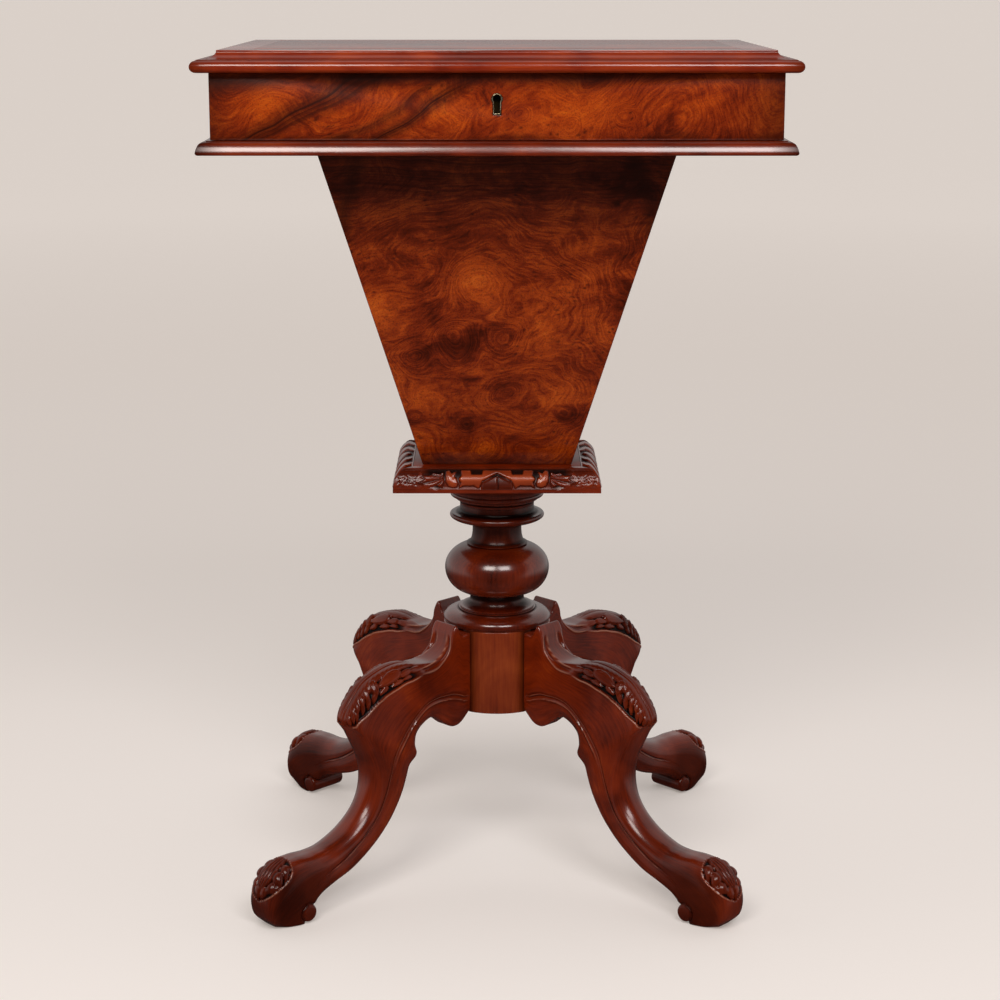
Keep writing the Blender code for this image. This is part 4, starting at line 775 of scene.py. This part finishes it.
def carveSide(x, v, shape, end):
    # running leaves over the whole width of the side lengths, pointing to the middle
    far = end - np.abs(x)
    starts = [shape["sideStart"] + shape["sidePitch"] * step for step in range(shape["sideLeaves"])]
    leaves = lobes(far, v, [(start + spec[0], *spec[1:]) for start in starts for spec in shape["sideLeaf"]])
    zone = ease(v, 3.2, 5.0) * (1 - ease(v, 25.0, 26.4)) * ease(far, 2.5, 5.0)
    # painted shade between the leaves, and pale leaf edges of wear and painted highlight
    dark = zone * np.clip(1 - leaves / 0.7, 0, 1) * 0.9
    return zone * (leaves - 1.2), dark, zone * np.clip(leaves - 1.3, 0, 0.3)


def makeCollar(shape):
    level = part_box("collar_board")[0][2]
    frameOut, height, run, fillet = (shape[key] for key in ("frame", "height", "run", "fillet"))
    power = 2 / shape["power"]
    profile = [(-frameOut, 0.0), (-frameOut / 2, 0.0), (0.0, 0.0), (0.0, fillet / 2)]
    firstCarved = len(profile) + 1
    profile += [(run * (abs(math.cos(a)) ** power - 1), fillet + (height - fillet) * math.sin(a) ** power)
                for a in np.linspace(0, math.pi / 2, shape["faceSteps"] + 1)]
    flat = (frameOut - run) / shape["topSteps"]
    profile += [(-run - flat * i, height) for i in range(1, shape["topSteps"] + 1)]
    profile += [(-frameOut, height / 2)]
    out, up = np.array(profile).T
    tangentOut, tangentUp = (np.roll(line, -1) - np.roll(line, 1) for line in (out, up))
    length = np.hypot(tangentOut, tangentUp)
    carved = np.zeros(len(profile))
    carved[firstCarved:firstCarved + shape["faceSteps"] + shape["topSteps"]] = 1.0
    climb = up * 1000 + np.clip(-run - out, 0, None) * 1000  # goes on across the flat top
    for side, turn in sideTurns.items():
        node = "collar_moulding_" + side
        axis, halfRun, reach, low, high = sideRun(node)
        halfRun = halfRun + shape["gap"]
        share = np.linspace(-1, 1, round(2 * halfRun / shape["pitch"]))[:, None]
        x = share * (halfRun + out - shape["gap"])[None, :]
        carve = carveSide if axis else carveCollar
        raised, dark, paleRubAndHighlight = carve(x * 1000, np.broadcast_to(climb[None, :], x.shape), shape, halfRun * 1000)
        dirt = np.where(dark > shape["leastDirt"], dark, -paleRubAndHighlight) * carved
        raised = raised * carved * 0.001
        points = np.stack([x, -(out + tangentUp / length * raised) - reach,
                           level + up - tangentOut / length * raised], axis=-1)
        mesh = gridPiece(node, points, dirt)
        mesh.transform(Matrix.Rotation(math.radians(turn), 4, "Z"))
        makePiece(node, mesh, "collarY" if axis else "collarX", shape["smoothDegrees"])


makeCollar(collarShape)
print("collar carved")


# Scroll legs: the stations of the leg, block to toe. Upper and lower edge as shares of span and rise,
# then shares of the neck's half thickness: half, crown, (crown's flat share,) reeded band, setback
legStations = (
    (0.000, 0.993, 0.000, 0.656, 1.00, 0.14, 0.90, 0.62, 0.05),  # block face
    (0.017, 0.993, 0.007, 0.637, 1.00, 0.14, 0.90, 1.50, 0.06),
    (0.043, 0.993, 0.022, 0.618, 1.00, 0.14, 0.90, 1.86, 0.08),
    (0.066, 1.035, 0.050, 0.606, 1.00, 0.21, 0.85, 2.22, 0.10),  # lip
    (0.086, 1.010, 0.083, 0.613, 1.00, 0.28, 0.82, 2.24, 0.11),
    (0.102, 0.948, 0.124, 0.644, 1.00, 0.41, 0.78, 1.80, 0.11),  # neck
    (0.170, 0.908, 0.170, 0.671, 1.01, 0.41, 0.76, 1.38, 0.11),
    (0.247, 0.911, 0.217, 0.658, 1.05, 0.69, 0.45, 1.38, 0.11),  # leaf root
    (0.342, 0.920, 0.257, 0.624, 1.10, 0.97, 0.30, 1.38, 0.11),  # knee
    (0.432, 0.902, 0.266, 0.580, 1.12, 1.10, 0.25, 1.70, 0.11),
    (0.510, 0.860, 0.257, 0.536, 1.10, 1.10, 0.25, 2.15, 0.11),
    (0.586, 0.756, 0.292, 0.500, 1.08, 1.10, 0.30, 1.90, 0.11),  # leaf tip
    (0.552, 0.687, 0.310, 0.455, 1.05, 0.95, 0.30, 1.90, 0.11),
    (0.499, 0.568, 0.333, 0.398, 1.06, 0.95, 0.12, 1.82, 0.11),  # calf
    (0.493, 0.470, 0.365, 0.343, 1.08, 0.95, 0.06, 1.62, 0.11),
    (0.524, 0.383, 0.412, 0.283, 1.10, 0.88, 0.05, 1.40, 0.11),  # shin
    (0.596, 0.312, 0.485, 0.215, 1.12, 0.85, 0.05, 1.34, 0.11),
    (0.692, 0.266, 0.585, 0.152, 1.14, 0.92, 0.05, 1.26, 0.08),  # ankle
    (0.762, 0.256, 0.686, 0.117, 1.20, 1.05, 0.10, 1.05, 0.04),
    (0.836, 0.257, 0.776, 0.080, 1.30, 1.20, 0.20, 0.90, 0.00),  # toe
    (0.912, 0.248, 0.832, 0.010, 1.36, 1.45, 0.20, 0.90, 0.00),
    (0.970, 0.204, 0.856, 0.000, 1.34, 1.38, 0.20, 0.86, 0.00),
    (0.999, 0.132, 0.880, 0.000, 1.22, 0.83, 0.25, 0.60, 0.00),
    (0.991, 0.054, 0.906, 0.000, 0.98, 0.34, 0.40, 0.28, 0.00),
    (0.950, 0.006, 0.934, 0.000, 0.48, 0.04, 0.60, 0.07, 0.00),  # toe edge
)
legShape = {"start": 0.04658, "span": 0.2324, "rise": 0.2232, "neckHalf": 0.0145, "pitch": 0.00115,
            "keelShare": 0.55, "soleShare": 0.84, "keelRise": 0.55, "soleFrom": (18, 20), "flankPower": 1.3,
            "volute": (0.826, 0.042), "voluteRadius": 0.0078, "voluteHalf": 0.0202, "voluteDirt": 0.4,
            "voluteEdge": 0.0028, "voluteSides": 56, "grooveAt": 0.0086, "grooveWidth": 0.0011,
            "grooveDepth": 1.3, "grooveDirt": 0.8, "footDirt": 0.6, "rubShare": -0.6, "smoothDegrees": 75,
            "tongue": 0.0122, "tongueNeck": 0.0039, "tongueEnd": 0.0065, "tongueRoot": 0.0037,
            "shoulder": 0.003,
            "columns": {"top": 7, "crown": 32, "flank": 28, "step": 4, "band": 12, "keel": 8, "sole": 3}}

# Leaves, in millimetres along the crest from the block and across it from the crest
kneeLeaf = {
    "border": ((66, 17.0), (72, 19.5), (84, 20.8), (95, 24.0), (117, 26.4), (139, 26.4), (161, 21.6),
               (176, 14.4), (181, 8.0), (184, 0.0)),
    "body": ((80, 5.0), (90, 9.5), (107, 12.0), (120, 11.0), (128, 9.5), (134, 10.5), (140, 13.0),
             (150, 13.4), (160, 11.6), (168, 9.6), (174, 7.4), (178, 3.4), (181, 0.5)),
    "lobes": ((88, 14.0, 8.5, 3.8, 8, 3.0), (100.5, 15.8, 8.0, 3.8, 14, 3.2), (119, 14.2, 14.0, 6.6, 6, 4.0),
              (136.5, 13.2, 7.5, 5.2, 62, 3.8), (147.2, 12.2, 5.0, 3.2, 48, 3.9),
              (154.0, 11.8, 4.6, 3.0, 45, 3.7), (160.8, 10.6, 4.2, 2.8, 40, 3.5),
              (166.8, 9.4, 3.8, 2.5, 35, 3.2), (114, 21.8, 8.0, 2.8, 4, 2.2),
              (131.5, 20.8, 6.5, 2.9, 10, 2.4), (143.5, 19.4, 5.6, 2.9, 24, 2.4),
              (151.5, 17.4, 5.6, 2.9, 34, 2.4), (159.0, 15.8, 4.8, 2.5, 30, 2.2),
              (100, 20.6, 6.5, 2.3, 8, 1.9), (167.5, 13.6, 5.0, 2.2, 24, 2.1), (176.2, 2.4, 5.0, 2.8, 0, 3.0),
              (175.0, 7.4, 4.4, 2.8, 18, 2.9), (171.6, 11.2, 3.8, 2.3, 28, 2.6)),
    "fluted": 3, "flutePitch": 2.2, "veinPitch": 2.7, "ribGroove": 1.7,
    "pointed": True, "start": (79, 92), "end": (178, 184), "ground": 2.0, "stain": 0.24,
}
toeLeaf = {
    "border": ((359, 0.0), (361, 7.0), (363.5, 12.5), (366, 17.0), (371, 20.6), (376, 21.4), (383, 20.4),
               (391, 17.2), (398, 12.8), (403, 8.0), (407, 0.0)),
    "body": ((359.5, 1.0), (362, 4.0), (366, 6.4), (372, 8.0), (379, 8.8), (385, 8.6), (390, 7.0),
             (393.5, 4.0), (395.5, 0.3)),
    "lobes": ((380.6, 13.4, 7.4, 5.6, 65, 4.4), (370.6, 13.4, 7.6, 4.4, 50, 3.3),
              (391.6, 11.0, 7.0, 4.6, -40, 3.4), (399.0, 3.4, 6.4, 4.4, -15, 3.0),
              (387.6, 16.4, 5.6, 2.0, -30, 2.4), (374.6, 18.8, 4.8, 1.7, 20, 2.3)),
    "shift": 6.0, "flutes": 2.5,
    "pointed": False, "start": (359, 362), "end": (405, 407.5), "ground": 1.9, "stain": 0.24,
}
# edges of the hollow and bead beside the neck's flat strip, by distance along the crest
neckCove = {"strip": ((28, 6.6), (41.5, 7.4), (51, 9.6), (68, 12.6), (80, 14.5)),
            "stop": ((28, 12.5), (36, 14.0), (50, 17.6), (61, 20.0), (80, 21.0)),
            "start": (30, 38), "end": (70, 84), "hollow": 0.58}
reedBand = {"start": (0.5, 2.2), "end": (17.4, 18.8), "cusp": (10.5, 12.5)}  # by station


def readPairs(value, pairs):
    return np.interp(value, *zip(*pairs))


def between(value, part):
    return ease(value, *part["start"]) * (1 - ease(value, *part["end"]))


def sunkLeaf(run, across, leaf):
    # a leaf and its lobes in a panel sunk below the flank, with a raised line round it
    border, width = readPairs(run, leaf["border"]), readPairs(run, leaf["body"])
    zone = between(run, leaf)
    inside = ease(border - across, 0.0, 0.8) * zone
    body = 3.1 * np.clip(1 - (across / np.maximum(width, 0.2)) ** 4, 0, None) ** 0.5
    rest = np.maximum(body, lobes(run, across, leaf["lobes"], leaf["pointed"]))
    line = hump(across, border + 0.6, 0.6) * zone
    height = inside * (rest - leaf["ground"]) + 0.7 * line
    # painted shade on the sunk ground, and a pale raised line of wear and painted highlight
    dark = inside * np.clip(1 - rest / 1.1, leaf["stain"], 1)
    return height, dark, 0.9 * line, inside * (across < width), width


def carveKnee(run, across, leaf):
    # a midrib between two grooves, fine veins, and one lobe fluted as a fan
    height, dark, paleRubAndHighlight, onBody, width = sunkLeaf(run, across, leaf)
    rib = 0.5 * hump(across, 0, 0.6) - 0.4 * hump(across, leaf["ribGroove"], 0.6)
    veins = np.cos(2 * math.pi * (across - 0.45 * run) / leaf["veinPitch"])
    rib = rib + 0.12 * veins * ease(across, 2.5, 4.5)
    fan = leaf["lobes"][leaf["fluted"]]
    flutes = 0.5 * np.cos(2 * math.pi * lobeAxes(run, across, fan)[1] / leaf["flutePitch"])
    flutes = np.where(lobe(run, across, fan, True) > 0.8, flutes, 0)
    # painted shade in the rib's groove and between the flutes
    dark = np.maximum(dark, 0.4 * onBody * hump(across, leaf["ribGroove"], 0.5))
    return height + onBody * rib + flutes, np.maximum(dark, 0.5 * (flutes < -0.2)), paleRubAndHighlight


def carveToe(run, across, leaf):
    height, dark, paleRubAndHighlight, onBody, width = sunkLeaf(run + leaf["shift"], across, leaf)
    flutes = 0.42 * np.cos(2 * math.pi * leaf["flutes"] * across / np.maximum(width, 2.0))
    # painted shade between the flutes
    return height + onBody * flutes, np.clip(dark + 0.5 * onBody * (flutes < -0.25), 0, 1), paleRubAndHighlight


def carveNeck(run, across, cove):
    # hollow and bead between the neck's flat strip and the flank
    strip = readPairs(run, cove["strip"])
    share = (across - strip) / (readPairs(run, cove["stop"]) - strip)
    hollow = 1.6 * arch(share / cove["hollow"])
    bead = 0.8 * arch((share - cove["hollow"]) / (1 - cove["hollow"]))
    zone = between(run, cove)
    edge = 0.3 * hump(across, strip - 0.3, 0.5)
    # a pale line of wear and painted highlight on the strip's edge and the bead, painted shade in the hollow
    paleRubAndHighlight = zone * np.maximum(0.8 * hump(across, strip - 0.2, 0.5), 0.6 * hump(share, 0.8, 0.08))
    return zone * (bead + edge - hollow), zone * np.clip(hollow - 0.9, 0, 1) * 0.5, paleRubAndHighlight


def carveReeds(below, share, station, reed):
    # a fine groove and ridge over a rounded band along the lower edge, with a second ridge and a hollow
    # as far as the cusp: mm below the band's top, share of the way down
    zone = between(station, reed)
    twin = 1 - ease(station, *reed["cusp"])
    groove = hump(below, -0.4, 0.6)
    ridges = hump(below, 0.9, 0.42) + twin * hump(below, 6.2, 0.48)
    hollow = 0.7 * arch((below - 1.4) / 4.2) + 1.1 * arch((share - 0.5) / 0.5) * (below > 6.5)
    height = 0.75 * ridges - 0.8 * groove - twin * hollow + 0.6 * (1 - twin) * arch(share)
    # painted shade in the groove and along the hollows, pale ridges of wear and painted highlight
    dark = 0.85 * groove + twin * (0.45 * hump(below, 2.2, 0.8) + 0.5 * hump(below, 7.6, 0.8))
    return zone * height, zone * dark, 0.4 * zone * ridges


def legRows(shape):
    # the stations joined by a smooth curve through them, and each row's place among them
    half = shape["neckHalf"]
    span, rise = shape["span"], shape["rise"]
    rows = np.array(legStations) * np.array([span, rise, span, rise, half, half, 1.0, half, half])
    last = len(rows) - 1
    result, stations = [], []
    for i in range(last):
        a, b, c, d = rows[max(i - 1, 0)], rows[i], rows[i + 1], rows[min(i + 2, last)]
        reach = max(math.hypot(*(c - b)[0:2]), math.hypot(*(c - b)[2:4]))
        count = max(4, round(reach / shape["pitch"]))
        for j in range(count):
            t = j / count
            result.append(0.5 * (2 * b + (c - a) * t + (2 * a - 5 * b + 4 * c - d) * t ** 2
                                 + (3 * b - a - 3 * c + d) * t ** 3))
            stations.append(i + t)
    return np.array(result + [rows[last]]), np.array(stations + [last])[:, None]


def voluteSpot(shape):
    return shape["start"] + shape["volute"][0] * shape["span"], shape["volute"][1] * shape["rise"]


def legSurface(shape):
    rows, station = legRows(shape)
    upperOut, upperUp, lowerOut, lowerUp, half, crown, flat, band, setback = np.split(rows, 9, axis=1)
    upperUp, lowerUp = np.maximum(upperUp, 0), np.maximum(lowerUp, 0)
    tall = np.hypot(upperOut - lowerOut, upperUp - lowerUp)
    inner = half - setback
    widening = (shape["soleShare"] - shape["keelShare"]) * ease(station, *shape["soleFrom"])
    keel = inner * (shape["keelShare"] + widening)
    rise = band * shape["keelRise"]
    counts = shape["columns"]
    share = {part: (np.arange(count) / count)[None, :] for part, count in counts.items()}

    # one flank from the crest down to the middle of the sole: height in the section, half width
    turn, roll = share["crown"] * math.pi / 2, share["keel"] * math.pi / 2
    flank = share["flank"] ** shape["flankPower"]
    pieces = [
        (tall + 0 * share["top"], half * flat * share["top"]),
        (tall - crown * (1 - np.cos(turn)), half * (flat + (1 - flat) * np.sin(turn))),
        ((tall - crown) + (band - tall + crown) * flank, half + 0 * flank),
        (band - setback * share["step"], half - setback * share["step"]),
        (band - setback + (rise - band + setback) * share["band"], inner + 0 * share["band"]),
        (rise * (1 - np.sin(roll)), keel + (inner - keel) * np.cos(roll)),
        (0 * share["sole"] * rise, keel * (1 - share["sole"])),
        (0 * rise, 0 * keel),
    ]
    up, wide = (np.concatenate([piece[k] for piece in pieces], axis=1) for k in (0, 1))
    out = shape["start"] + lowerOut + (upperOut - lowerOut) * up / tall
    level = lowerUp + (upperUp - lowerUp) * up / tall
    around = np.cumsum(np.hypot(np.diff(up, axis=1), np.diff(wide, axis=1)), axis=1)
    across = np.concatenate([0 * tall, around], axis=1) * 1000
    crest = np.cumsum(np.hypot(np.diff(upperOut, axis=0), np.diff(upperUp, axis=0)), axis=0)
    run = np.concatenate([[[0.0]], crest]) * 1000 + 0 * across

    # the reeded band: mm below its top and share of the way down, both far off elsewhere
    first = counts["top"] + counts["crown"] + counts["flank"]
    end = first + counts["step"] + counts["band"] + counts["keel"]
    below = across - across[:, first:first + 1]
    downBand = below / below[:, end:end + 1]
    offBand = (below < -2.5) | (downBand > 1.0)
    below, downBand = np.where(offBand, 99.0, below), np.where(offBand, 2.0, downBand)

    carvings = (carveNeck(run, across, neckCove), carveKnee(run, across, kneeLeaf),
                carveToe(run, across, toeLeaf), carveReeds(below, downBand, station, reedBand))
    height = sum(carving[0] for carving in carvings)
    dirt, rubAndHighlight = (np.max([carving[k] for carving in carvings], axis=0) for k in (1, 2))
    joint = 1 - ease(station, 0.0, 0.3)  # painted shade in the joint at the block, and a darker foot round the leaf
    foot = shape["footDirt"] * ease(station, 16.8, 19.2) * ease(across, 8, 28)
    voluteOut, voluteUp = voluteSpot(shape)
    # a groove round the volute, with painted shade in it
    groove = hump(np.hypot(out - voluteOut, level - voluteUp), shape["grooveAt"], shape["grooveWidth"])
    groove = np.where((across > 24) & (station > 18.5), groove, 0)
    height = height - shape["grooveDepth"] * groove
    dirt = np.max([dirt, joint + 0 * dirt, foot, shape["grooveDirt"] * groove], axis=0)
    dirt = np.where(rubAndHighlight > dirt, shape["rubShare"] * rubAndHighlight, dirt)
    return np.stack([out, wide, level], axis=-1), height, dirt


def legMesh(shape):
    # both flanks together, moved out by the height of the carving
    points, height, dirt = legSurface(shape)
    mirrored = slice(points.shape[1] - 2, 0, -1)
    points = np.concatenate([points, points[:, mirrored] * np.array([1, -1, 1])], axis=1)
    height, dirt = (np.concatenate([half, half[:, mirrored]], axis=1) for half in (height, dirt))
    crosswise = np.roll(points, -1, axis=1) - np.roll(points, 1, axis=1)
    normals = np.cross(np.gradient(points, axis=0), crosswise)
    normals = normals / np.maximum(np.linalg.norm(normals, axis=-1, keepdims=True), 1e-12)
    outward = np.sum(normals * (points - points.mean(axis=1, keepdims=True)), axis=-1).mean()
    points = points + math.copysign(0.001, outward) * height[..., None] * normals
    points[..., 2] = np.maximum(points[..., 2], 0.0)
    return gridPiece("legBlank", points, dirt)


def addVolute(mesh, shape):
    # a round button through the heel of the foot, and the dovetail tongue at the block
    bm = bmesh.new()
    bm.from_mesh(mesh)
    before = set(bm.verts)
    bmesh.ops.create_cone(bm, cap_ends=True, segments=shape["voluteSides"], radius1=shape["voluteRadius"],
                          radius2=shape["voluteRadius"], depth=2 * shape["voluteHalf"])
    rims = [edge for edge in bm.edges if edge.verts[0] not in before and edge.calc_face_angle(0.0) > 1.0]
    bmesh.ops.bevel(bm, geom=rims, offset=shape["voluteEdge"], offset_type="OFFSET", affect="EDGES",
                    segments=6, profile=0.5, material=-1)
    button = [vert for vert in bm.verts if vert not in before]
    dirt = bm.verts.layers.float["recess"]
    for vert in button:
        vert[dirt] = shape["voluteDirt"]
    bmesh.ops.rotate(bm, verts=button, matrix=Matrix.Rotation(math.pi / 2, 3, "X"))
    voluteOut, voluteUp = voluteSpot(shape)
    bmesh.ops.translate(bm, verts=button, vec=(voluteOut, 0, voluteUp))
    low, high = (corner[2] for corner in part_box("leg_block"))
    for vert in bmesh.ops.create_cube(bm, size=1.0)["verts"]:
        inward = vert.co.x < 0
        vert.co.y *= 2 * shape["tongueEnd"] if inward else 2 * shape["tongueNeck"]
        vert.co.x = shape["start"] - shape["tongue"] if inward else shape["start"] + shape["tongueRoot"]
        vert.co.z = low + shape["shoulder"] if vert.co.z < 0 else high - shape["shoulder"]
    bm.to_mesh(mesh)
    bm.free()


def makeLegs(shape, angle):
    blank = legMesh(shape)
    addVolute(blank, shape)
    turns = {"leg_front_right": -angle, "leg_rear_right": angle, "leg_rear_left": 180 - angle,
             "leg_front_left": 180 + angle}
    for node, turn in turns.items():
        mesh = blank.copy()
        mesh.transform(Matrix.Rotation(math.radians(turn), 4, "Z"))
        makePiece(node, mesh, "leg", shape["smoothDegrees"])
    print("leg triangles:", 2 * len(blank.polygons))


makeLegs(legShape, legJoint["angle"])
print("legs carved")


# Brass screws with slotted heads in the hinge leaves and the lock case
screwShape = {"radius": 0.0019, "rise": 0.00035, "slotHalf": 0.00028, "sides": 28, "firstTurn": 0.7,
              "nextTurn": 1.1, "smoothDegrees": 30, "inset": 0.0045, "pitch": 0.017, "sunk": 0.00012,
              "lockRadius": 0.0015, "lockInset": 0.0025, "lockSunk": 0.0003}


def makeScrews(name, spots, up, body, shape, radius):
    bm = bmesh.new()
    for k, spot in enumerate(spots):
        before = set(bm.verts)

        def added(items):
            return [item for item in items if getattr(item, "verts", [item])[0] not in before]

        bmesh.ops.create_circle(bm, cap_ends=True, segments=shape["sides"], radius=radius)
        for offset in (-shape["slotHalf"], shape["slotHalf"]):
            bmesh.ops.bisect_plane(bm, geom=added(bm.verts) + added(bm.edges) + added(bm.faces),
                                   plane_co=(offset, 0, 0), plane_no=(1, 0, 0))
        for face in added(bm.faces):
            if abs(face.calc_center_median().x) <= shape["slotHalf"]:
                continue
            grown = bmesh.ops.extrude_face_region(bm, geom=[face], use_keep_orig=True)
            raised = [item for item in grown["geom"] if isinstance(item, bmesh.types.BMVert)]
            bmesh.ops.translate(bm, verts=raised, vec=(0, 0, shape["rise"]))
        turn = shape["firstTurn"] + shape["nextTurn"] * k
        bmesh.ops.rotate(bm, verts=added(bm.verts), matrix=Matrix.Rotation(turn, 3, "Z"))
        if up < 0:
            bmesh.ops.rotate(bm, verts=added(bm.verts), matrix=Matrix.Rotation(math.pi, 3, "X"))
        bmesh.ops.translate(bm, verts=added(bm.verts), vec=spot)
    makePiece(name, closeMesh(name, bm), "brass", shape["smoothDegrees"], body, False)


def placeScrews(shape):
    levels = {1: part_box("box_back")[1][2] - shape["sunk"], -1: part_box("lid_panel")[0][2] + shape["sunk"]}
    for side in ("left", "right"):
        for body, leaf, up in (("table", "hinge_leaf_box_", 1), ("lid", "hinge_leaf_lid_", -1)):
            low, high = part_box(leaf + side)
            middle = (low[0] + high[0]) / 2
            spots = [(middle + step, low[1] + shape["inset"], levels[up] - up * shape["rise"])
                     for step in (-shape["pitch"], 0.0, shape["pitch"])]
            name = "screws" + camelName(leaf + side).capitalize()
            makeScrews(name, spots, up, body, shape, shape["radius"])
    low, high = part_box("lock_case")
    spots = [(x, (low[1] + high[1]) / 2, high[2] - shape["lockSunk"])
             for x in (low[0] + shape["lockInset"], high[0] - shape["lockInset"])]
    makeScrews("screwsLockCase", spots, 1, "table", shape, shape["lockRadius"])


placeScrews(screwShape)
print("screws set")


# Pale seamless floor, soft studio light and the camera of the photograph
studio = {"floorHalf": 150.0, "mottleMm": 400, "paperReach": 6.0, "glow": (0.26, 0.39),
          "glowColour": "#fff3e8", "paper": ((0.0, "#d5d4d3"), (0.15, "#d4d1cf"), (0.5, "#d8d3cf"),
                                             (1.0, "#dedad7")),
          "wallColour": "#f8f1ee", "dark": 0.04, "pale": 0.6, "skirt": 0.66, "below": 0.06,
          "cameraAt": (0.0, -2.033, 0.7969), "tiltDown": 0.2235, "lens": 82.8, "sensor": 36.0, "shift": 0.003}
keyLight = {"kind": "AREA", "target": (0, 0, 0.45), "size": (0.95, 0.8)}
studioLights = {
    "keyLeft": {**keyLight, "at": (-0.62, -1.83, 1.86), "energy": 25, "colour": "#fff6ef"},
    "keyRight": {**keyLight, "at": (0.62, -1.83, 1.86), "energy": 23, "colour": "#fbf4f2"},
    "overhead": {"kind": "SUN", "target": (0, 0, 0), "angle": 1.2, "at": (0.0, 0.0, 3.0), "energy": 0.3,
                 "colour": "#fff8f2"},
}


# Matt seamless paper: pale warm grey, the faintest mottling, a little lighter further off, with a painted
# glow that grows further off
def studioFloor(look):
    material, add, place = newMaterial("seamlessPaper")
    mottle = add("TexNoise", {"Scale": perMm(look["mottleMm"]), "Detail": 3.0}, {"Vector": place})
    away = add("VectorMath", {"operation": "LENGTH"}, {0: place})
    spread = add("MapRange", {"From Max": look["paperReach"]}, {"Value": away})
    paper = add("ValToRGB", {"stops": look["paper"]}, {"Fac": spread})
    glow = add("MapRange", {"To Min": look["glow"][0], "To Max": look["glow"][1]}, {"Value": spread})
    closeMaterial(add, {"IOR": 1.4, "Emission Color": linearColour(look["glowColour"])}, paper,
                  (mottle, 0.8, 0.95), (mottle, 0.02, 0.2), {"Emission Strength": glow})
    bm = bmesh.new()
    bmesh.ops.create_grid(bm, x_segments=8, y_segments=8, size=look["floorHalf"])
    mesh = bpy.data.meshes.new("studioFloor")
    bm.to_mesh(mesh)
    bm.free()
    mesh.materials.append(material)
    floor = bpy.data.objects.new("studioFloor", mesh)
    bpy.context.scene.collection.objects.link(floor)
    floor.visible_glossy = False  # the polish mirrors the dim room, not the bright paper


def softLight(name, look):
    light = bpy.data.lights.new(name, look["kind"])
    if look["kind"] == "AREA":
        light.shape = "RECTANGLE"
        light.size, light.size_y = look["size"]
    else:
        light.angle = look["angle"]
    light.energy = look["energy"]
    light.color = linearColour(look["colour"])[:3]
    lamp = bpy.data.objects.new(name, light)
    lamp.location = look["at"]
    lamp.rotation_euler = (Vector(look["target"]) - Vector(look["at"])).to_track_quat("-Z", "Y").to_euler()
    lamp.visible_glossy = look["kind"] == "AREA"  # only the soft boxes show in the polish
    bpy.context.scene.collection.objects.link(lamp)


def studioWorld(look):
    # pale walls at the sides and back, dark in front, overhead and below
    world = bpy.data.worlds.new("studioRoom")
    world.use_nodes = True
    world.node_tree.nodes.clear()
    add = functools.partial(addNode, world.node_tree)
    place = (add("TexCoord"), "Generated")
    smooth = {"interpolation_type": "SMOOTHSTEP"}
    lean = add("VectorMath", {"operation": "DOT_PRODUCT", 1: (0.0, 1.0, -0.5)}, {0: place})
    wall = add("MapRange", {**smooth, "From Min": -0.6, "From Max": -0.25, "To Min": look["dark"],
                            "To Max": look["pale"]}, {"Value": lean})
    level = add("SeparateXYZ", {}, {"Vector": place})
    ground = add("MapRange", {**smooth, "From Min": -0.38, "From Max": -0.02, "To Min": look["below"]},
                 {"Value": (level, "Z")})
    skirt = add("MapRange", {**smooth, "From Min": 0.84, "From Max": 0.98, "To Min": 1.0,
                             "To Max": look["skirt"]}, {"Value": lean})
    share = add("Math", {"operation": "MULTIPLY"}, {0: wall, 1: skirt})
    share = add("Math", {"operation": "MULTIPLY"}, {0: share, 1: ground})
    glow = add("Background", {"Color": linearColour(look["wallColour"])}, {"Strength": share})
    add("OutputWorld", {}, {"Surface": glow})
    bpy.context.scene.world = world


def studioCamera(look):
    camera = bpy.data.cameras.new("photoCamera")
    camera.sensor_width = look["sensor"]
    camera.lens = look["lens"]
    camera.shift_x = look["shift"]
    holder = bpy.data.objects.new("photoCamera", camera)
    holder.location = look["cameraAt"]
    holder.rotation_euler = (math.pi / 2 - look["tiltDown"], 0, 0)
    bpy.context.scene.collection.objects.link(holder)
    bpy.context.scene.camera = holder


studioFloor(studio)
for lightName, lightLook in studioLights.items():
    softLight(lightName, lightLook)
studioWorld(studio)
studioCamera(studio)
bpy.context.scene.view_settings.view_transform = "Standard"  # colours come out as the palette gives them
print("studio ready")
